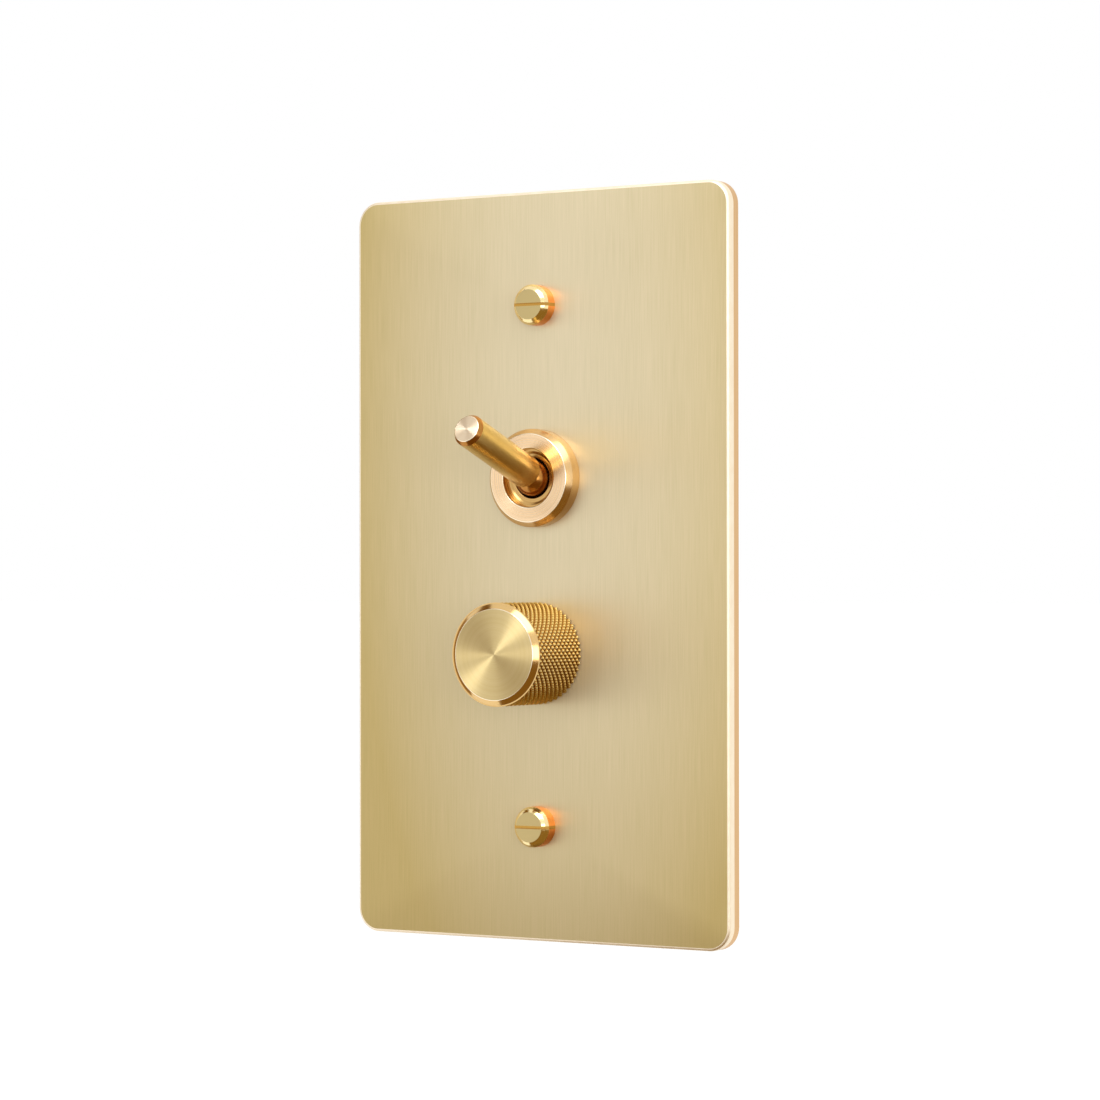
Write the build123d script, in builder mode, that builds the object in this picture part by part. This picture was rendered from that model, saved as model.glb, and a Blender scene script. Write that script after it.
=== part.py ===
from build123d import *
import math
import os

os.makedirs("parts", exist_ok=True)

# A brass wall plate that carries a toggle switch above a rotary dimmer.
# X runs to the right, Y into the wall and Z up, and the wall's surface is at Y = 0.
# Heights are measured out of the wall, so a negative height lies inside the wall box.

# Clearances
running_clearance = 0.05
fixed_clearance = 0.02
hole_clearance = 0.1
seat_clearance = 0.1
swing_clearance = 0.25

# Wall plate and its backing frame
plate_width = 70.0
plate_height = 120.0
plate_corner = 3.8
faceplate_thickness = 1.5
faceplate_chamfer = 0.45
frame_thickness = 1.5
frame_side_border = 11.5
frame_end_border = 5.5
frame_inner_corner = 2.5

# Mounting strap
strap_thickness = 1.4
strap_gap = 0.5
strap_corner = 2.0
strap_slot_length = 7.5

# Plate screws, at the spacing of a single wall box
box_screw_spacing = 83.34
screw_shank_radius = 1.75
screw_shank_length = 25.0
screw_neck_radius = 1.5
screw_thread_lead = 0.05
screw_tip_chamfer = 0.5
screw_head_radius = 3.25
screw_face_radius = 2.4
screw_head_height = 2.9
screw_bevel_height = 0.95
screw_slot_width = 0.5
screw_slot_depth = 0.9

# Earth screw
earth_screw_edge = 8.0
earth_screw_head_radius = 2.9
earth_screw_head_height = 1.8

# Toggle bezel and bushing
toggle_height_on_plate = 14.0
bezel_radius = 7.85
bezel_face_radius = 7.05
bezel_height = 3.0
bezel_bevel_height = 0.95
bezel_hole_radius = 4.7
bezel_lip_thickness = 1.1
bezel_hole_chamfer = 0.15
bushing_thread_radius = 6.0
bushing_ledge_outer_radius = 4.3
bushing_ledge_inner_radius = 3.9
bushing_ledge_depth = 0.15
bushing_throat_length = 1.7
bushing_cone_length = 1.05
bushing_bore_radius = 4.3
bushing_flange_radius = 7.2
bushing_flange_thickness = 0.8

# Toggle lever, one turned piece with its ball and inner arm
lever_tilt = 20.0
pivot_standoff = 1.1
ball_radius = 3.0
lever_radius = 2.6
lever_base_distance = 2.3
lever_base_round = 0.45
lever_tip_distance = 21.0
lever_tip_bevel = 0.4
arm_radius = 1.1
arm_length = 12.0
neck_radius = 0.75
neck_length = 1.4
arm_end_radius = 1.2
arm_end_bevel = 0.45
pivot_pin_radius = 0.4
pivot_pin_length = 11.2

# Switch frame, housing and base
switch_frame_thickness = 0.8
switch_frame_width = 15.0
switch_frame_tab = 2.0
switch_frame_bend = 0.6
switch_housing_width = 18.0
switch_housing_depth = 13.3
switch_housing_corner = 1.0
switch_front_wall = 5.3
switch_end_wall = 3.4
switch_base_thickness = 3.0
arm_slot_width = 3.6
arm_slot_height = 10.8

# Contact carriage and the contact that it slides
carriage_width = 9.2
carriage_height = 6.4
carriage_depth = 5.0
carriage_edge = 0.4
carriage_pocket_depth = 3.4
carriage_pocket_clearance = 0.18
moving_contact_width = 6.4
moving_contact_height = 6.2
moving_contact_thickness = 0.6
contact_dome_radius = 0.9
contact_dome_rise = 0.45
contact_dome_tip_radius = 0.4
contact_dome_spacing = 4.4

# Fixed contacts, their terminals and terminal screws
contact_pad_width = 6.0
contact_pad_thickness = 1.5
line_pad_height = 3.0
common_pad_height = 5.2
terminal_spacing = 7.0
terminal_stem_radius = 1.2
terminal_block_width = 6.0
terminal_block_height = 4.4
terminal_block_depth = 8.0
terminal_edge = 0.3
wire_hole_radius = 1.4
wire_hole_depth = 3.5
terminal_screw_radius = 1.2
terminal_screw_head_radius = 1.8
terminal_screw_head_height = 1.4
terminal_screw_slot_width = 0.5
terminal_screw_slot_depth = 0.6

# Dimmer knob
knob_height_on_plate = -14.0
knob_radius = 8.2
knob_bevel_outer_radius = 8.0
knob_face_radius = 7.2
knob_face_height = 13.1
knob_bevel_height = 0.65
knob_base_gap = 0.2
knob_base_chamfer = 0.15
knob_cavity_radius = 6.6
knob_cavity_clearance = 0.5
knob_face_wall = 1.5
knob_bore_clearance = 0.05
knob_flat_clearance = 0.4
knob_clip_thickness = 0.3
knob_clip_width = 3.4
knob_clip_length = 5.0

# Dimmer control: shaft, bushing, washer and nut
shaft_radius = 3.0
shaft_flat_distance = 1.6
shaft_end_gap = 0.2
shaft_end_chamfer = 0.3
control_thread_radius = 4.0
control_thread_length = 4.2
control_flange_size = 15.0
control_flange_thickness = 1.2
control_flange_corner = 1.5
washer_radius = 6.0
washer_thickness = 0.5
nut_across_flats = 10.0
nut_thickness = 2.0
nut_chamfer = 0.3

# Dimmer control: case, rotor, wiper and track
control_case_radius = 9.0
control_case_wall = 1.0
control_case_depth = 7.3
rotor_radius = 7.2
rotor_thickness = 2.4
rotor_front_gap = 0.4
wiper_width = 2.4
wiper_thickness = 0.3
wiper_reach = 6.4
wiper_dome_radius = 0.7
wiper_dome_tip_radius = 0.3
wiper_dome_rise = 0.45
wiper_gap = 0.1
track_thickness = 1.0

# Dimmer housing and cover
dimmer_housing_width = 34.0
dimmer_housing_height = 34.0
dimmer_housing_top = -0.4
dimmer_housing_depth = 30.0
dimmer_housing_wall = 1.6
dimmer_housing_corner = 2.5
housing_post_radius = 2.2
housing_post_inset = 3.6
vent_end_margin = 1.8
vent_slot_width = 1.6
vent_slot_pitch = 4.0
vent_slot_count = 4
cover_thickness = 1.6
cover_lip_height = 1.2
cover_lip_thickness = 1.2

# Circuit board and what it carries
board_thickness = 1.6
board_gap = 0.3
choke_radius = 5.0
choke_section_radius = 2.2
choke_side_margin = 0.5
choke_top_margin = 0.4
choke_section_sides = 6
capacitor_height = 10.0
capacitor_depth = 11.0
capacitor_edge = 0.5
capacitor_side_margin = 1.5
capacitor_strip_gap = 2.3
capacitor_bottom_margin = 1.3
heatsink_thickness = 1.5
heatsink_cover_gap = 1.6
heatsink_foot = 5.0
heatsink_side_margin = 1.4
heatsink_choke_gap = 1.8
heatsink_top_margin = 0.5
heatsink_bend = 0.8
triac_width = 10.0
triac_body_depth = 8.2
triac_body_thickness = 4.2
triac_tab_thickness = 1.2
triac_tab_length = 4.8
triac_tab_setback = 0.2
triac_hole_radius = 1.7
triac_lead_radius = 0.4
triac_lead_spacing = 2.54
triac_screw_head_radius = 2.3
triac_screw_head_height = 1.4
triac_screw_shank_radius = 1.5
terminal_strip_width = 19.0
terminal_strip_height = 9.0
terminal_strip_proud = 1.2
terminal_strip_side_margin = 1.0
terminal_strip_bottom_margin = 1.3
terminal_strip_pitch = 6.0
terminal_strip_ways = 3
terminal_strip_wire_depth = 7.0
terminal_strip_row_offset = 2.1
terminal_strip_edge = 0.4
strip_screw_radius = 1.5
strip_screw_length = 6.0
strip_screw_sink = 0.3

# Heights of the plate's layers
wall_surface = 0.0
frame_front = wall_surface + frame_thickness
face_front = frame_front + faceplate_thickness
strap_back = frame_front - strap_thickness
strap_width = plate_width - 2 * frame_side_border - 2 * strap_gap
strap_height = plate_height - 2 * frame_end_border - 2 * strap_gap
screw_height_on_plate = box_screw_spacing / 2
cavity_height = 2 * (terminal_spacing + line_pad_height / 2 + seat_clearance)
switch_housing_height = cavity_height + 2 * switch_end_wall
earth_screw_x = strap_width / 2 - earth_screw_edge


def level(height):
    """A plane parallel to the wall, seen from the front."""
    return Plane.XZ.offset(height)


def section(height_on_plate):
    """A level cut through the plate: local x is a radius, local y a height out of the wall."""
    return Plane(origin=(0, 0, height_on_plate), x_dir=(1, 0, 0), z_dir=(0, 0, -1))


def turning_axis(height_on_plate, offset=0.0):
    """The axis of a turned piece that stands square to the wall."""
    return Axis((offset, 0, height_on_plate), (0, 1, 0))


def bevel_middle(face_radius, face_height, foot_radius, foot_height):
    """The knee of a bevel that is turned in two cuts, so that it looks rounded."""
    knee_radius = face_radius + (foot_radius - face_radius) * math.sin(math.pi / 4)
    knee_height = foot_height + (face_height - foot_height) * math.cos(math.pi / 4)
    return (knee_radius, knee_height)


def finish(piece, name):
    """Label a finished piece and write its file."""
    piece.part.label = name
    export_step(piece.part, f"parts/{name}.step")


# Faceplate: brushed brass sheet with a chamfered front edge and holes for both controls
toggle_hole_radius = bushing_thread_radius + hole_clearance
control_hole_radius = control_thread_radius + hole_clearance
with BuildPart() as faceplate:
    with BuildSketch(level(frame_front)):
        RectangleRounded(plate_width, plate_height, plate_corner)
        with Locations((0, toggle_height_on_plate)):
            Circle(toggle_hole_radius, mode=Mode.SUBTRACT)
        with Locations((0, knob_height_on_plate)):
            Circle(control_hole_radius, mode=Mode.SUBTRACT)
        with Locations((0, screw_height_on_plate), (0, -screw_height_on_plate)):
            Circle(screw_shank_radius + hole_clearance, mode=Mode.SUBTRACT)
    extrude(amount=faceplate_thickness)
    front_face = faceplate.faces().sort_by(Axis.Y)[0]
    chamfer(front_face.outer_wire().edges(), length=faceplate_chamfer)
finish(faceplate, "faceplate")

# Backing frame: brass frame of the same outline that stands the plate off the wall
with BuildPart() as backing_frame:
    with BuildSketch(level(wall_surface)):
        RectangleRounded(plate_width, plate_height, plate_corner)
        RectangleRounded(
            plate_width - 2 * frame_side_border,
            plate_height - 2 * frame_end_border,
            frame_inner_corner,
            mode=Mode.SUBTRACT,
        )
    extrude(amount=frame_thickness)
finish(backing_frame, "backing_frame")

# Mounting strap: steel strap inside the frame, slotted for the box screws
with BuildPart() as mounting_strap:
    with BuildSketch(level(strap_back)):
        RectangleRounded(strap_width, strap_height, strap_corner)
        with Locations((0, toggle_height_on_plate)):
            Circle(toggle_hole_radius, mode=Mode.SUBTRACT)
        with Locations((0, knob_height_on_plate)):
            Circle(control_hole_radius, mode=Mode.SUBTRACT)
        with Locations((0, screw_height_on_plate), (0, -screw_height_on_plate)):
            SlotOverall(
                strap_slot_length,
                2 * (screw_shank_radius + swing_clearance),
                mode=Mode.SUBTRACT,
            )
        with Locations((earth_screw_x, screw_height_on_plate)):
            Circle(screw_shank_radius + fixed_clearance, mode=Mode.SUBTRACT)
    extrude(amount=strap_thickness)
finish(mounting_strap, "mounting_strap")

# Plate screws: turned brass heads with a wide bevel and a level driver slot,
# a thin neck through the plate and a thread that stands out behind the strap
screw_base = face_front
screw_top = screw_base + screw_head_height
screw_bevel_foot = screw_top - screw_bevel_height
screw_bevel_middle = bevel_middle(
    screw_face_radius, screw_top, screw_head_radius, screw_bevel_foot
)
with BuildPart() as plate_screw_upper:
    with BuildSketch(section(screw_height_on_plate)):
        with BuildLine():
            Polyline(
                (0, screw_top),
                (screw_face_radius, screw_top),
                screw_bevel_middle,
                (screw_head_radius, screw_bevel_foot),
                (screw_head_radius, screw_base),
                (screw_neck_radius, screw_base),
                (screw_neck_radius, wall_surface + screw_thread_lead),
                (screw_shank_radius, wall_surface + screw_thread_lead),
                (screw_shank_radius, screw_tip_chamfer - screw_shank_length),
                (screw_shank_radius - screw_tip_chamfer, -screw_shank_length),
                (0, -screw_shank_length),
                (0, screw_top),
            )
        make_face()
    revolve(axis=turning_axis(screw_height_on_plate))
    with BuildSketch(level(screw_top)):
        with Locations((0, screw_height_on_plate)):
            Rectangle(2 * screw_head_radius + 1, screw_slot_width)
    extrude(amount=-screw_slot_depth, mode=Mode.SUBTRACT)
finish(plate_screw_upper, "plate_screw_upper")

lower_screw_shape = plate_screw_upper.part.moved(Location((0, 0, -box_screw_spacing)))
with BuildPart() as plate_screw_lower:
    add(lower_screw_shape)
finish(plate_screw_lower, "plate_screw_lower")

# Earth screw: steel pan head on the back of the strap, threaded forward into it
with BuildPart() as earth_screw:
    with BuildSketch(level(strap_back)):
        with Locations((earth_screw_x, screw_height_on_plate)):
            Circle(earth_screw_head_radius)
    extrude(amount=-earth_screw_head_height)
    with BuildSketch(level(strap_back)):
        with Locations((earth_screw_x, screw_height_on_plate)):
            Circle(screw_shank_radius)
    extrude(amount=strap_thickness)
    head_rim = earth_screw.faces().sort_by(Axis.Y)[-1].edges()
    chamfer(head_rim, length=earth_screw_head_height / 3)
    with BuildSketch(level(strap_back - earth_screw_head_height)):
        with Locations((earth_screw_x, screw_height_on_plate)):
            Rectangle(2 * earth_screw_head_radius + 1, screw_slot_width)
    extrude(amount=earth_screw_head_height / 2, mode=Mode.SUBTRACT)
finish(earth_screw, "earth_screw")

# Toggle bezel: polished ring nut that clamps the switch to the faceplate
bezel_top = face_front + bezel_height
bezel_bevel_foot = bezel_top - bezel_bevel_height
bezel_lip_back = bezel_top - bezel_lip_thickness
bezel_thread_radius = bushing_thread_radius + running_clearance
bezel_bevel_middle = bevel_middle(bezel_face_radius, bezel_top, bezel_radius, bezel_bevel_foot)
with BuildPart() as toggle_bezel:
    with BuildSketch(section(toggle_height_on_plate)):
        with BuildLine():
            Polyline(
                (bezel_hole_radius + bezel_hole_chamfer, bezel_top),
                (bezel_face_radius, bezel_top),
                bezel_bevel_middle,
                (bezel_radius, bezel_bevel_foot),
                (bezel_radius, face_front),
                (bezel_thread_radius, face_front),
                (bezel_thread_radius, bezel_lip_back),
                (bezel_hole_radius, bezel_lip_back),
                (bezel_hole_radius, bezel_top - bezel_hole_chamfer),
                (bezel_hole_radius + bezel_hole_chamfer, bezel_top),
            )
        make_face()
    revolve(axis=turning_axis(toggle_height_on_plate))
finish(toggle_bezel, "toggle_bezel")

# Toggle bushing: threaded brass barrel, staked to the switch frame by its rear flange
pivot_height = face_front + pivot_standoff
bushing_front = bezel_lip_back - running_clearance
bushing_throat_radius = ball_radius + swing_clearance
ledge_height = bushing_front - bushing_ledge_depth
throat_back = ledge_height - bushing_throat_length
switch_frame_front = strap_back
switch_frame_back = switch_frame_front - switch_frame_thickness
flange_back = switch_frame_back - bushing_flange_thickness
pivot_axis = Axis((0, -pivot_height, toggle_height_on_plate), (1, 0, 0))
pivot_plane = Plane(
    origin=(0, -pivot_height, toggle_height_on_plate), x_dir=(0, 1, 0), z_dir=(1, 0, 0)
)
with BuildPart() as toggle_bushing:
    with BuildSketch(section(toggle_height_on_plate)):
        with BuildLine():
            Polyline(
                (bushing_thread_radius, bushing_front),
                (bushing_ledge_outer_radius, bushing_front),
                (bushing_ledge_inner_radius, ledge_height),
                (bushing_throat_radius, ledge_height),
                (bushing_throat_radius, throat_back),
                (bushing_bore_radius, throat_back - bushing_cone_length),
                (bushing_bore_radius, flange_back),
                (bushing_flange_radius, flange_back),
                (bushing_flange_radius, switch_frame_back),
                (bushing_thread_radius, switch_frame_back),
                (bushing_thread_radius, bushing_front),
            )
        make_face()
    revolve(axis=turning_axis(toggle_height_on_plate))
    with BuildSketch(pivot_plane):
        Circle(pivot_pin_radius + fixed_clearance)
    extrude(amount=bushing_flange_radius, both=True, mode=Mode.SUBTRACT)
finish(toggle_bushing, "toggle_bushing")

# Pivot pin: steel pin across the bushing that the ball turns on
with BuildPart() as pivot_pin:
    with BuildSketch(pivot_plane):
        Circle(pivot_pin_radius)
    extrude(amount=pivot_pin_length / 2, both=True)
finish(pivot_pin, "pivot_pin")

# Toggle lever: rod, ball and inner arm turned from one bar, tilted up at rest
tilt = math.radians(lever_tilt)
lever_direction = Vector(0, -math.cos(tilt), math.sin(tilt))
lever_origin = Vector(0, -pivot_height, toggle_height_on_plate)
lever_plane = Plane(
    origin=lever_origin, x_dir=(1, 0, 0), z_dir=(0, -math.sin(tilt), -math.cos(tilt))
)
crease_radius = math.sqrt(ball_radius**2 - lever_base_distance**2)
arm_start = math.sqrt(ball_radius**2 - arm_radius**2)
arm_end_face_radius = arm_end_radius - arm_end_bevel
arm_end_back = arm_length + arm_end_radius
arm_end_start = arm_length - arm_end_radius
neck_start = arm_end_start - neck_length
lever_tip_face_radius = lever_radius - lever_tip_bevel
lever_tip_knee = bevel_middle(
    lever_tip_face_radius, lever_tip_distance, lever_radius, lever_tip_distance - lever_tip_bevel
)
with BuildPart() as toggle_lever:
    with BuildSketch(lever_plane):
        with BuildLine():
            Polyline(
                (0, -arm_end_back),
                (0, lever_tip_distance),
                (lever_tip_face_radius, lever_tip_distance),
                lever_tip_knee,
                (lever_radius, lever_tip_distance - lever_tip_bevel),
                (lever_radius, lever_base_distance + lever_base_round),
                (crease_radius, lever_base_distance),
            )
            ThreePointArc(
                (crease_radius, lever_base_distance),
                (ball_radius, 0),
                (arm_radius, -arm_start),
            )
            Polyline(
                (arm_radius, -arm_start),
                (arm_radius, -neck_start),
                (neck_radius, -neck_start - (arm_radius - neck_radius)),
                (neck_radius, -arm_end_start),
                (arm_end_radius, -arm_end_start - arm_end_bevel),
                (arm_end_radius, -arm_end_back + arm_end_bevel),
                (arm_end_face_radius, -arm_end_back),
                (0, -arm_end_back),
            )
        make_face()
    revolve(axis=Axis(lever_origin, lever_direction))
    with BuildSketch(pivot_plane):
        Circle(pivot_pin_radius + running_clearance)
    extrude(amount=ball_radius + 1, both=True, mode=Mode.SUBTRACT)
finish(toggle_lever, "toggle_lever")

# Switch frame: folded steel strap around the housing, its rear tabs closed over the base
frame_inner_height = switch_housing_height
frame_outer_height = frame_inner_height + 2 * switch_frame_thickness
housing_front = switch_frame_back
housing_back = housing_front - switch_housing_depth
base_back = housing_back - switch_base_thickness
frame_rear = base_back - switch_frame_thickness
frame_depth = switch_frame_front - frame_rear
with BuildPart() as switch_frame:
    with BuildSketch(Plane.YZ):
        with Locations((-(switch_frame_front + frame_rear) / 2, toggle_height_on_plate)):
            Rectangle(frame_depth, frame_outer_height)
            Rectangle(
                frame_depth - 2 * switch_frame_thickness,
                frame_inner_height,
                mode=Mode.SUBTRACT,
            )
        with Locations((-frame_rear, toggle_height_on_plate)):
            Rectangle(
                4 * switch_frame_thickness,
                frame_inner_height - 2 * switch_frame_tab,
                mode=Mode.SUBTRACT,
            )
    extrude(amount=switch_frame_width / 2, both=True)
    outer_bends = switch_frame.edges().filter_by(Axis.X).group_by(Axis.Z)
    fillet(outer_bends[0] + outer_bends[-1], radius=switch_frame_bend)
    with BuildSketch(level(switch_frame_front)):
        with Locations((0, toggle_height_on_plate)):
            Circle(bushing_thread_radius + fixed_clearance)
    extrude(amount=-2 * switch_frame_thickness, mode=Mode.SUBTRACT)
finish(switch_frame, "switch_frame")

# Switch housing: moulded block with a seat for the flange and a slide way for the carriage
cavity_front = housing_front - switch_front_wall
cavity_width = carriage_width + 2 * seat_clearance
with BuildPart() as switch_housing:
    with BuildSketch(level(housing_back)):
        with Locations((0, toggle_height_on_plate)):
            RectangleRounded(switch_housing_width, switch_housing_height, switch_housing_corner)
    extrude(amount=switch_housing_depth)
    with BuildSketch(level(housing_front)):
        with Locations((0, toggle_height_on_plate)):
            Circle(bushing_flange_radius + hole_clearance)
    extrude(amount=-bushing_flange_thickness, mode=Mode.SUBTRACT)
    with BuildSketch(level(housing_front)):
        with Locations((0, toggle_height_on_plate)):
            SlotOverall(arm_slot_height, arm_slot_width, rotation=90)
    extrude(amount=-switch_housing_depth, mode=Mode.SUBTRACT)
    with BuildSketch(level(housing_back)):
        with Locations((0, toggle_height_on_plate)):
            Rectangle(cavity_width, cavity_height)
    extrude(amount=cavity_front - housing_back, mode=Mode.SUBTRACT)
finish(switch_housing, "switch_housing")

# Contact carriage: moulded slide that the end of the lever's arm carries up and down
carriage_front = cavity_front - seat_clearance
carriage_back = carriage_front - carriage_depth
arm_end_drop = arm_length * math.sin(tilt)
carriage_z = toggle_height_on_plate - arm_end_drop
pocket_size = 2 * (arm_end_radius + carriage_pocket_clearance)
with BuildPart() as contact_carriage:
    with BuildSketch(level(carriage_back)):
        with Locations((0, carriage_z)):
            Rectangle(carriage_width, carriage_height)
    extrude(amount=carriage_depth)
    chamfer(contact_carriage.edges().filter_by(Axis.Y), length=carriage_edge)
    with BuildSketch(level(carriage_front)):
        with Locations((0, carriage_z)):
            Rectangle(pocket_size, pocket_size)
    extrude(amount=-carriage_pocket_depth, mode=Mode.SUBTRACT)
finish(contact_carriage, "contact_carriage")

# Moving contact: bridge with two domes, carried on the back of the carriage
bridge_back = carriage_back - moving_contact_thickness
with BuildPart() as moving_contact:
    with BuildSketch(level(bridge_back)):
        with Locations((0, carriage_z)):
            Rectangle(moving_contact_width, moving_contact_height)
    extrude(amount=moving_contact_thickness)
    for side in (-1, 1):
        dome_z = carriage_z + side * contact_dome_spacing / 2
        with BuildSketch(level(bridge_back)):
            with Locations((0, dome_z)):
                Circle(contact_dome_radius)
        with BuildSketch(level(bridge_back - contact_dome_rise)):
            with Locations((0, dome_z)):
                Circle(contact_dome_tip_radius)
        loft()
finish(moving_contact, "moving_contact")

# Switch base: moulded board that closes the housing and carries the terminals
terminal_places = (
    ("upper", toggle_height_on_plate + terminal_spacing),
    ("common", toggle_height_on_plate),
    ("lower", toggle_height_on_plate - terminal_spacing),
)
with BuildPart() as switch_base:
    with BuildSketch(level(base_back)):
        with Locations((0, toggle_height_on_plate)):
            RectangleRounded(switch_housing_width, switch_housing_height, switch_housing_corner)
        with Locations(*[(0, place) for name, place in terminal_places]):
            Circle(terminal_stem_radius + fixed_clearance, mode=Mode.SUBTRACT)
    extrude(amount=switch_base_thickness)
finish(switch_base, "switch_base")

# Terminals: brass contact pad, stem through the base, and clamp block behind it
block_back = base_back - terminal_block_depth
wire_hole_height = base_back - wire_hole_depth
pad_heights = {"upper": line_pad_height, "common": common_pad_height, "lower": line_pad_height}
screw_hole_end = wire_hole_height
for name, place in terminal_places:
    with BuildPart() as terminal:
        with BuildSketch(level(housing_back)):
            with Locations((0, place)):
                Rectangle(contact_pad_width, pad_heights[name])
        extrude(amount=contact_pad_thickness)
        with BuildSketch(level(base_back)):
            with Locations((0, place)):
                Circle(terminal_stem_radius)
        extrude(amount=switch_base_thickness)
        with BuildSketch(level(block_back)):
            with Locations((0, place)):
                Rectangle(terminal_block_width, terminal_block_height)
        extrude(amount=terminal_block_depth)
        block_corners = terminal.edges().filter_by(Axis.Y).group_by(Axis.Y)[-1]
        chamfer(block_corners, length=terminal_edge)
        with BuildSketch(Plane.YZ):
            with Locations((-wire_hole_height, place)):
                Circle(wire_hole_radius)
        extrude(amount=terminal_block_width, both=True, mode=Mode.SUBTRACT)
        with BuildSketch(level(block_back)):
            with Locations((0, place)):
                Circle(terminal_screw_radius + running_clearance)
        extrude(amount=screw_hole_end - block_back, mode=Mode.SUBTRACT)
    finish(terminal, f"switch_terminal_{name}")

    with BuildPart() as clamp_screw:
        with BuildSketch(level(block_back - terminal_screw_head_height)):
            with Locations((0, place)):
                Circle(terminal_screw_head_radius)
        extrude(amount=terminal_screw_head_height)
        with BuildSketch(level(block_back)):
            with Locations((0, place)):
                Circle(terminal_screw_radius)
        extrude(amount=screw_hole_end - wire_hole_radius - block_back)
        with BuildSketch(level(block_back - terminal_screw_head_height)):
            with Locations((0, place)):
                Rectangle(2 * terminal_screw_head_radius + 1, terminal_screw_slot_width)
        extrude(amount=terminal_screw_slot_depth, mode=Mode.SUBTRACT)
    finish(clamp_screw, f"switch_screw_{name}")

# Dimmer housing: moulded tray behind the strap, with posts for the board and side vents
dimmer_front = strap_back
dimmer_back = dimmer_front - dimmer_housing_depth
dimmer_wall_back = dimmer_front - dimmer_housing_wall
dimmer_z = dimmer_housing_top - dimmer_housing_height / 2
inner_width = dimmer_housing_width - 2 * dimmer_housing_wall
inner_height = dimmer_housing_height - 2 * dimmer_housing_wall
control_flange_back = dimmer_wall_back - control_flange_thickness
control_case_back = control_flange_back - control_case_depth
board_front = control_case_back
board_back = board_front - board_thickness
post_spacing_x = dimmer_housing_width - 2 * housing_post_inset
post_spacing_z = dimmer_housing_height - 2 * housing_post_inset
room_depth = board_back - dimmer_back
vent_slot_length = room_depth - 2 * vent_end_margin
inner_left = -inner_width / 2
inner_right = inner_width / 2
inner_top = dimmer_housing_top - dimmer_housing_wall
inner_bottom = inner_top - inner_height
with BuildPart() as dimmer_housing:
    with BuildSketch(level(dimmer_back)):
        with Locations((0, dimmer_z)):
            RectangleRounded(dimmer_housing_width, dimmer_housing_height, dimmer_housing_corner)
    extrude(amount=dimmer_housing_depth)
    with BuildSketch(level(dimmer_back)):
        with Locations((0, dimmer_z)):
            RectangleRounded(inner_width, inner_height, dimmer_housing_corner - dimmer_housing_wall)
    extrude(amount=dimmer_housing_depth - dimmer_housing_wall, mode=Mode.SUBTRACT)
    with BuildSketch(level(board_front)):
        with Locations((0, dimmer_z)):
            with GridLocations(post_spacing_x, post_spacing_z, 2, 2):
                Circle(housing_post_radius)
    extrude(amount=dimmer_front - board_front)
    with BuildSketch(level(dimmer_front)):
        with Locations((0, knob_height_on_plate)):
            Circle(control_hole_radius)
    extrude(amount=-2 * dimmer_housing_wall, mode=Mode.SUBTRACT)
    with BuildSketch(Plane.YZ):
        with Locations((-(board_back + dimmer_back) / 2, dimmer_z)):
            with GridLocations(vent_slot_length, vent_slot_pitch, 1, vent_slot_count):
                Rectangle(vent_slot_length, vent_slot_width)
    extrude(amount=dimmer_housing_width, both=True, mode=Mode.SUBTRACT)
finish(dimmer_housing, "dimmer_housing")

# Control bushing: threaded brass sleeve on a square flange behind the housing wall
control_front = face_front + control_thread_length
with BuildPart() as control_bushing:
    with BuildSketch(level(control_flange_back)):
        with Locations((0, knob_height_on_plate)):
            RectangleRounded(control_flange_size, control_flange_size, control_flange_corner)
    extrude(amount=control_flange_thickness)
    with BuildSketch(level(dimmer_wall_back)):
        with Locations((0, knob_height_on_plate)):
            Circle(control_thread_radius)
    extrude(amount=control_front - dimmer_wall_back)
    with BuildSketch(level(control_front)):
        with Locations((0, knob_height_on_plate)):
            Circle(shaft_radius + running_clearance)
    extrude(amount=control_flange_back - control_front, mode=Mode.SUBTRACT)
finish(control_bushing, "control_bushing")

# Washer and hexagon nut that hold the dimmer, hidden in the hollow of the knob
washer_top = face_front + washer_thickness
with BuildPart() as control_washer:
    with BuildSketch(level(face_front)):
        with Locations((0, knob_height_on_plate)):
            Circle(washer_radius)
            Circle(control_hole_radius, mode=Mode.SUBTRACT)
    extrude(amount=washer_thickness)
finish(control_washer, "control_washer")

with BuildPart() as control_nut:
    with BuildSketch(level(washer_top)):
        with Locations((0, knob_height_on_plate)):
            RegularPolygon(nut_across_flats / 2, 6, major_radius=False)
            Circle(control_thread_radius + running_clearance, mode=Mode.SUBTRACT)
    extrude(amount=nut_thickness)
    nut_face = control_nut.faces().sort_by(Axis.Y)[0]
    chamfer(nut_face.outer_wire().edges(), length=nut_chamfer)
finish(control_nut, "control_nut")

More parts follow.
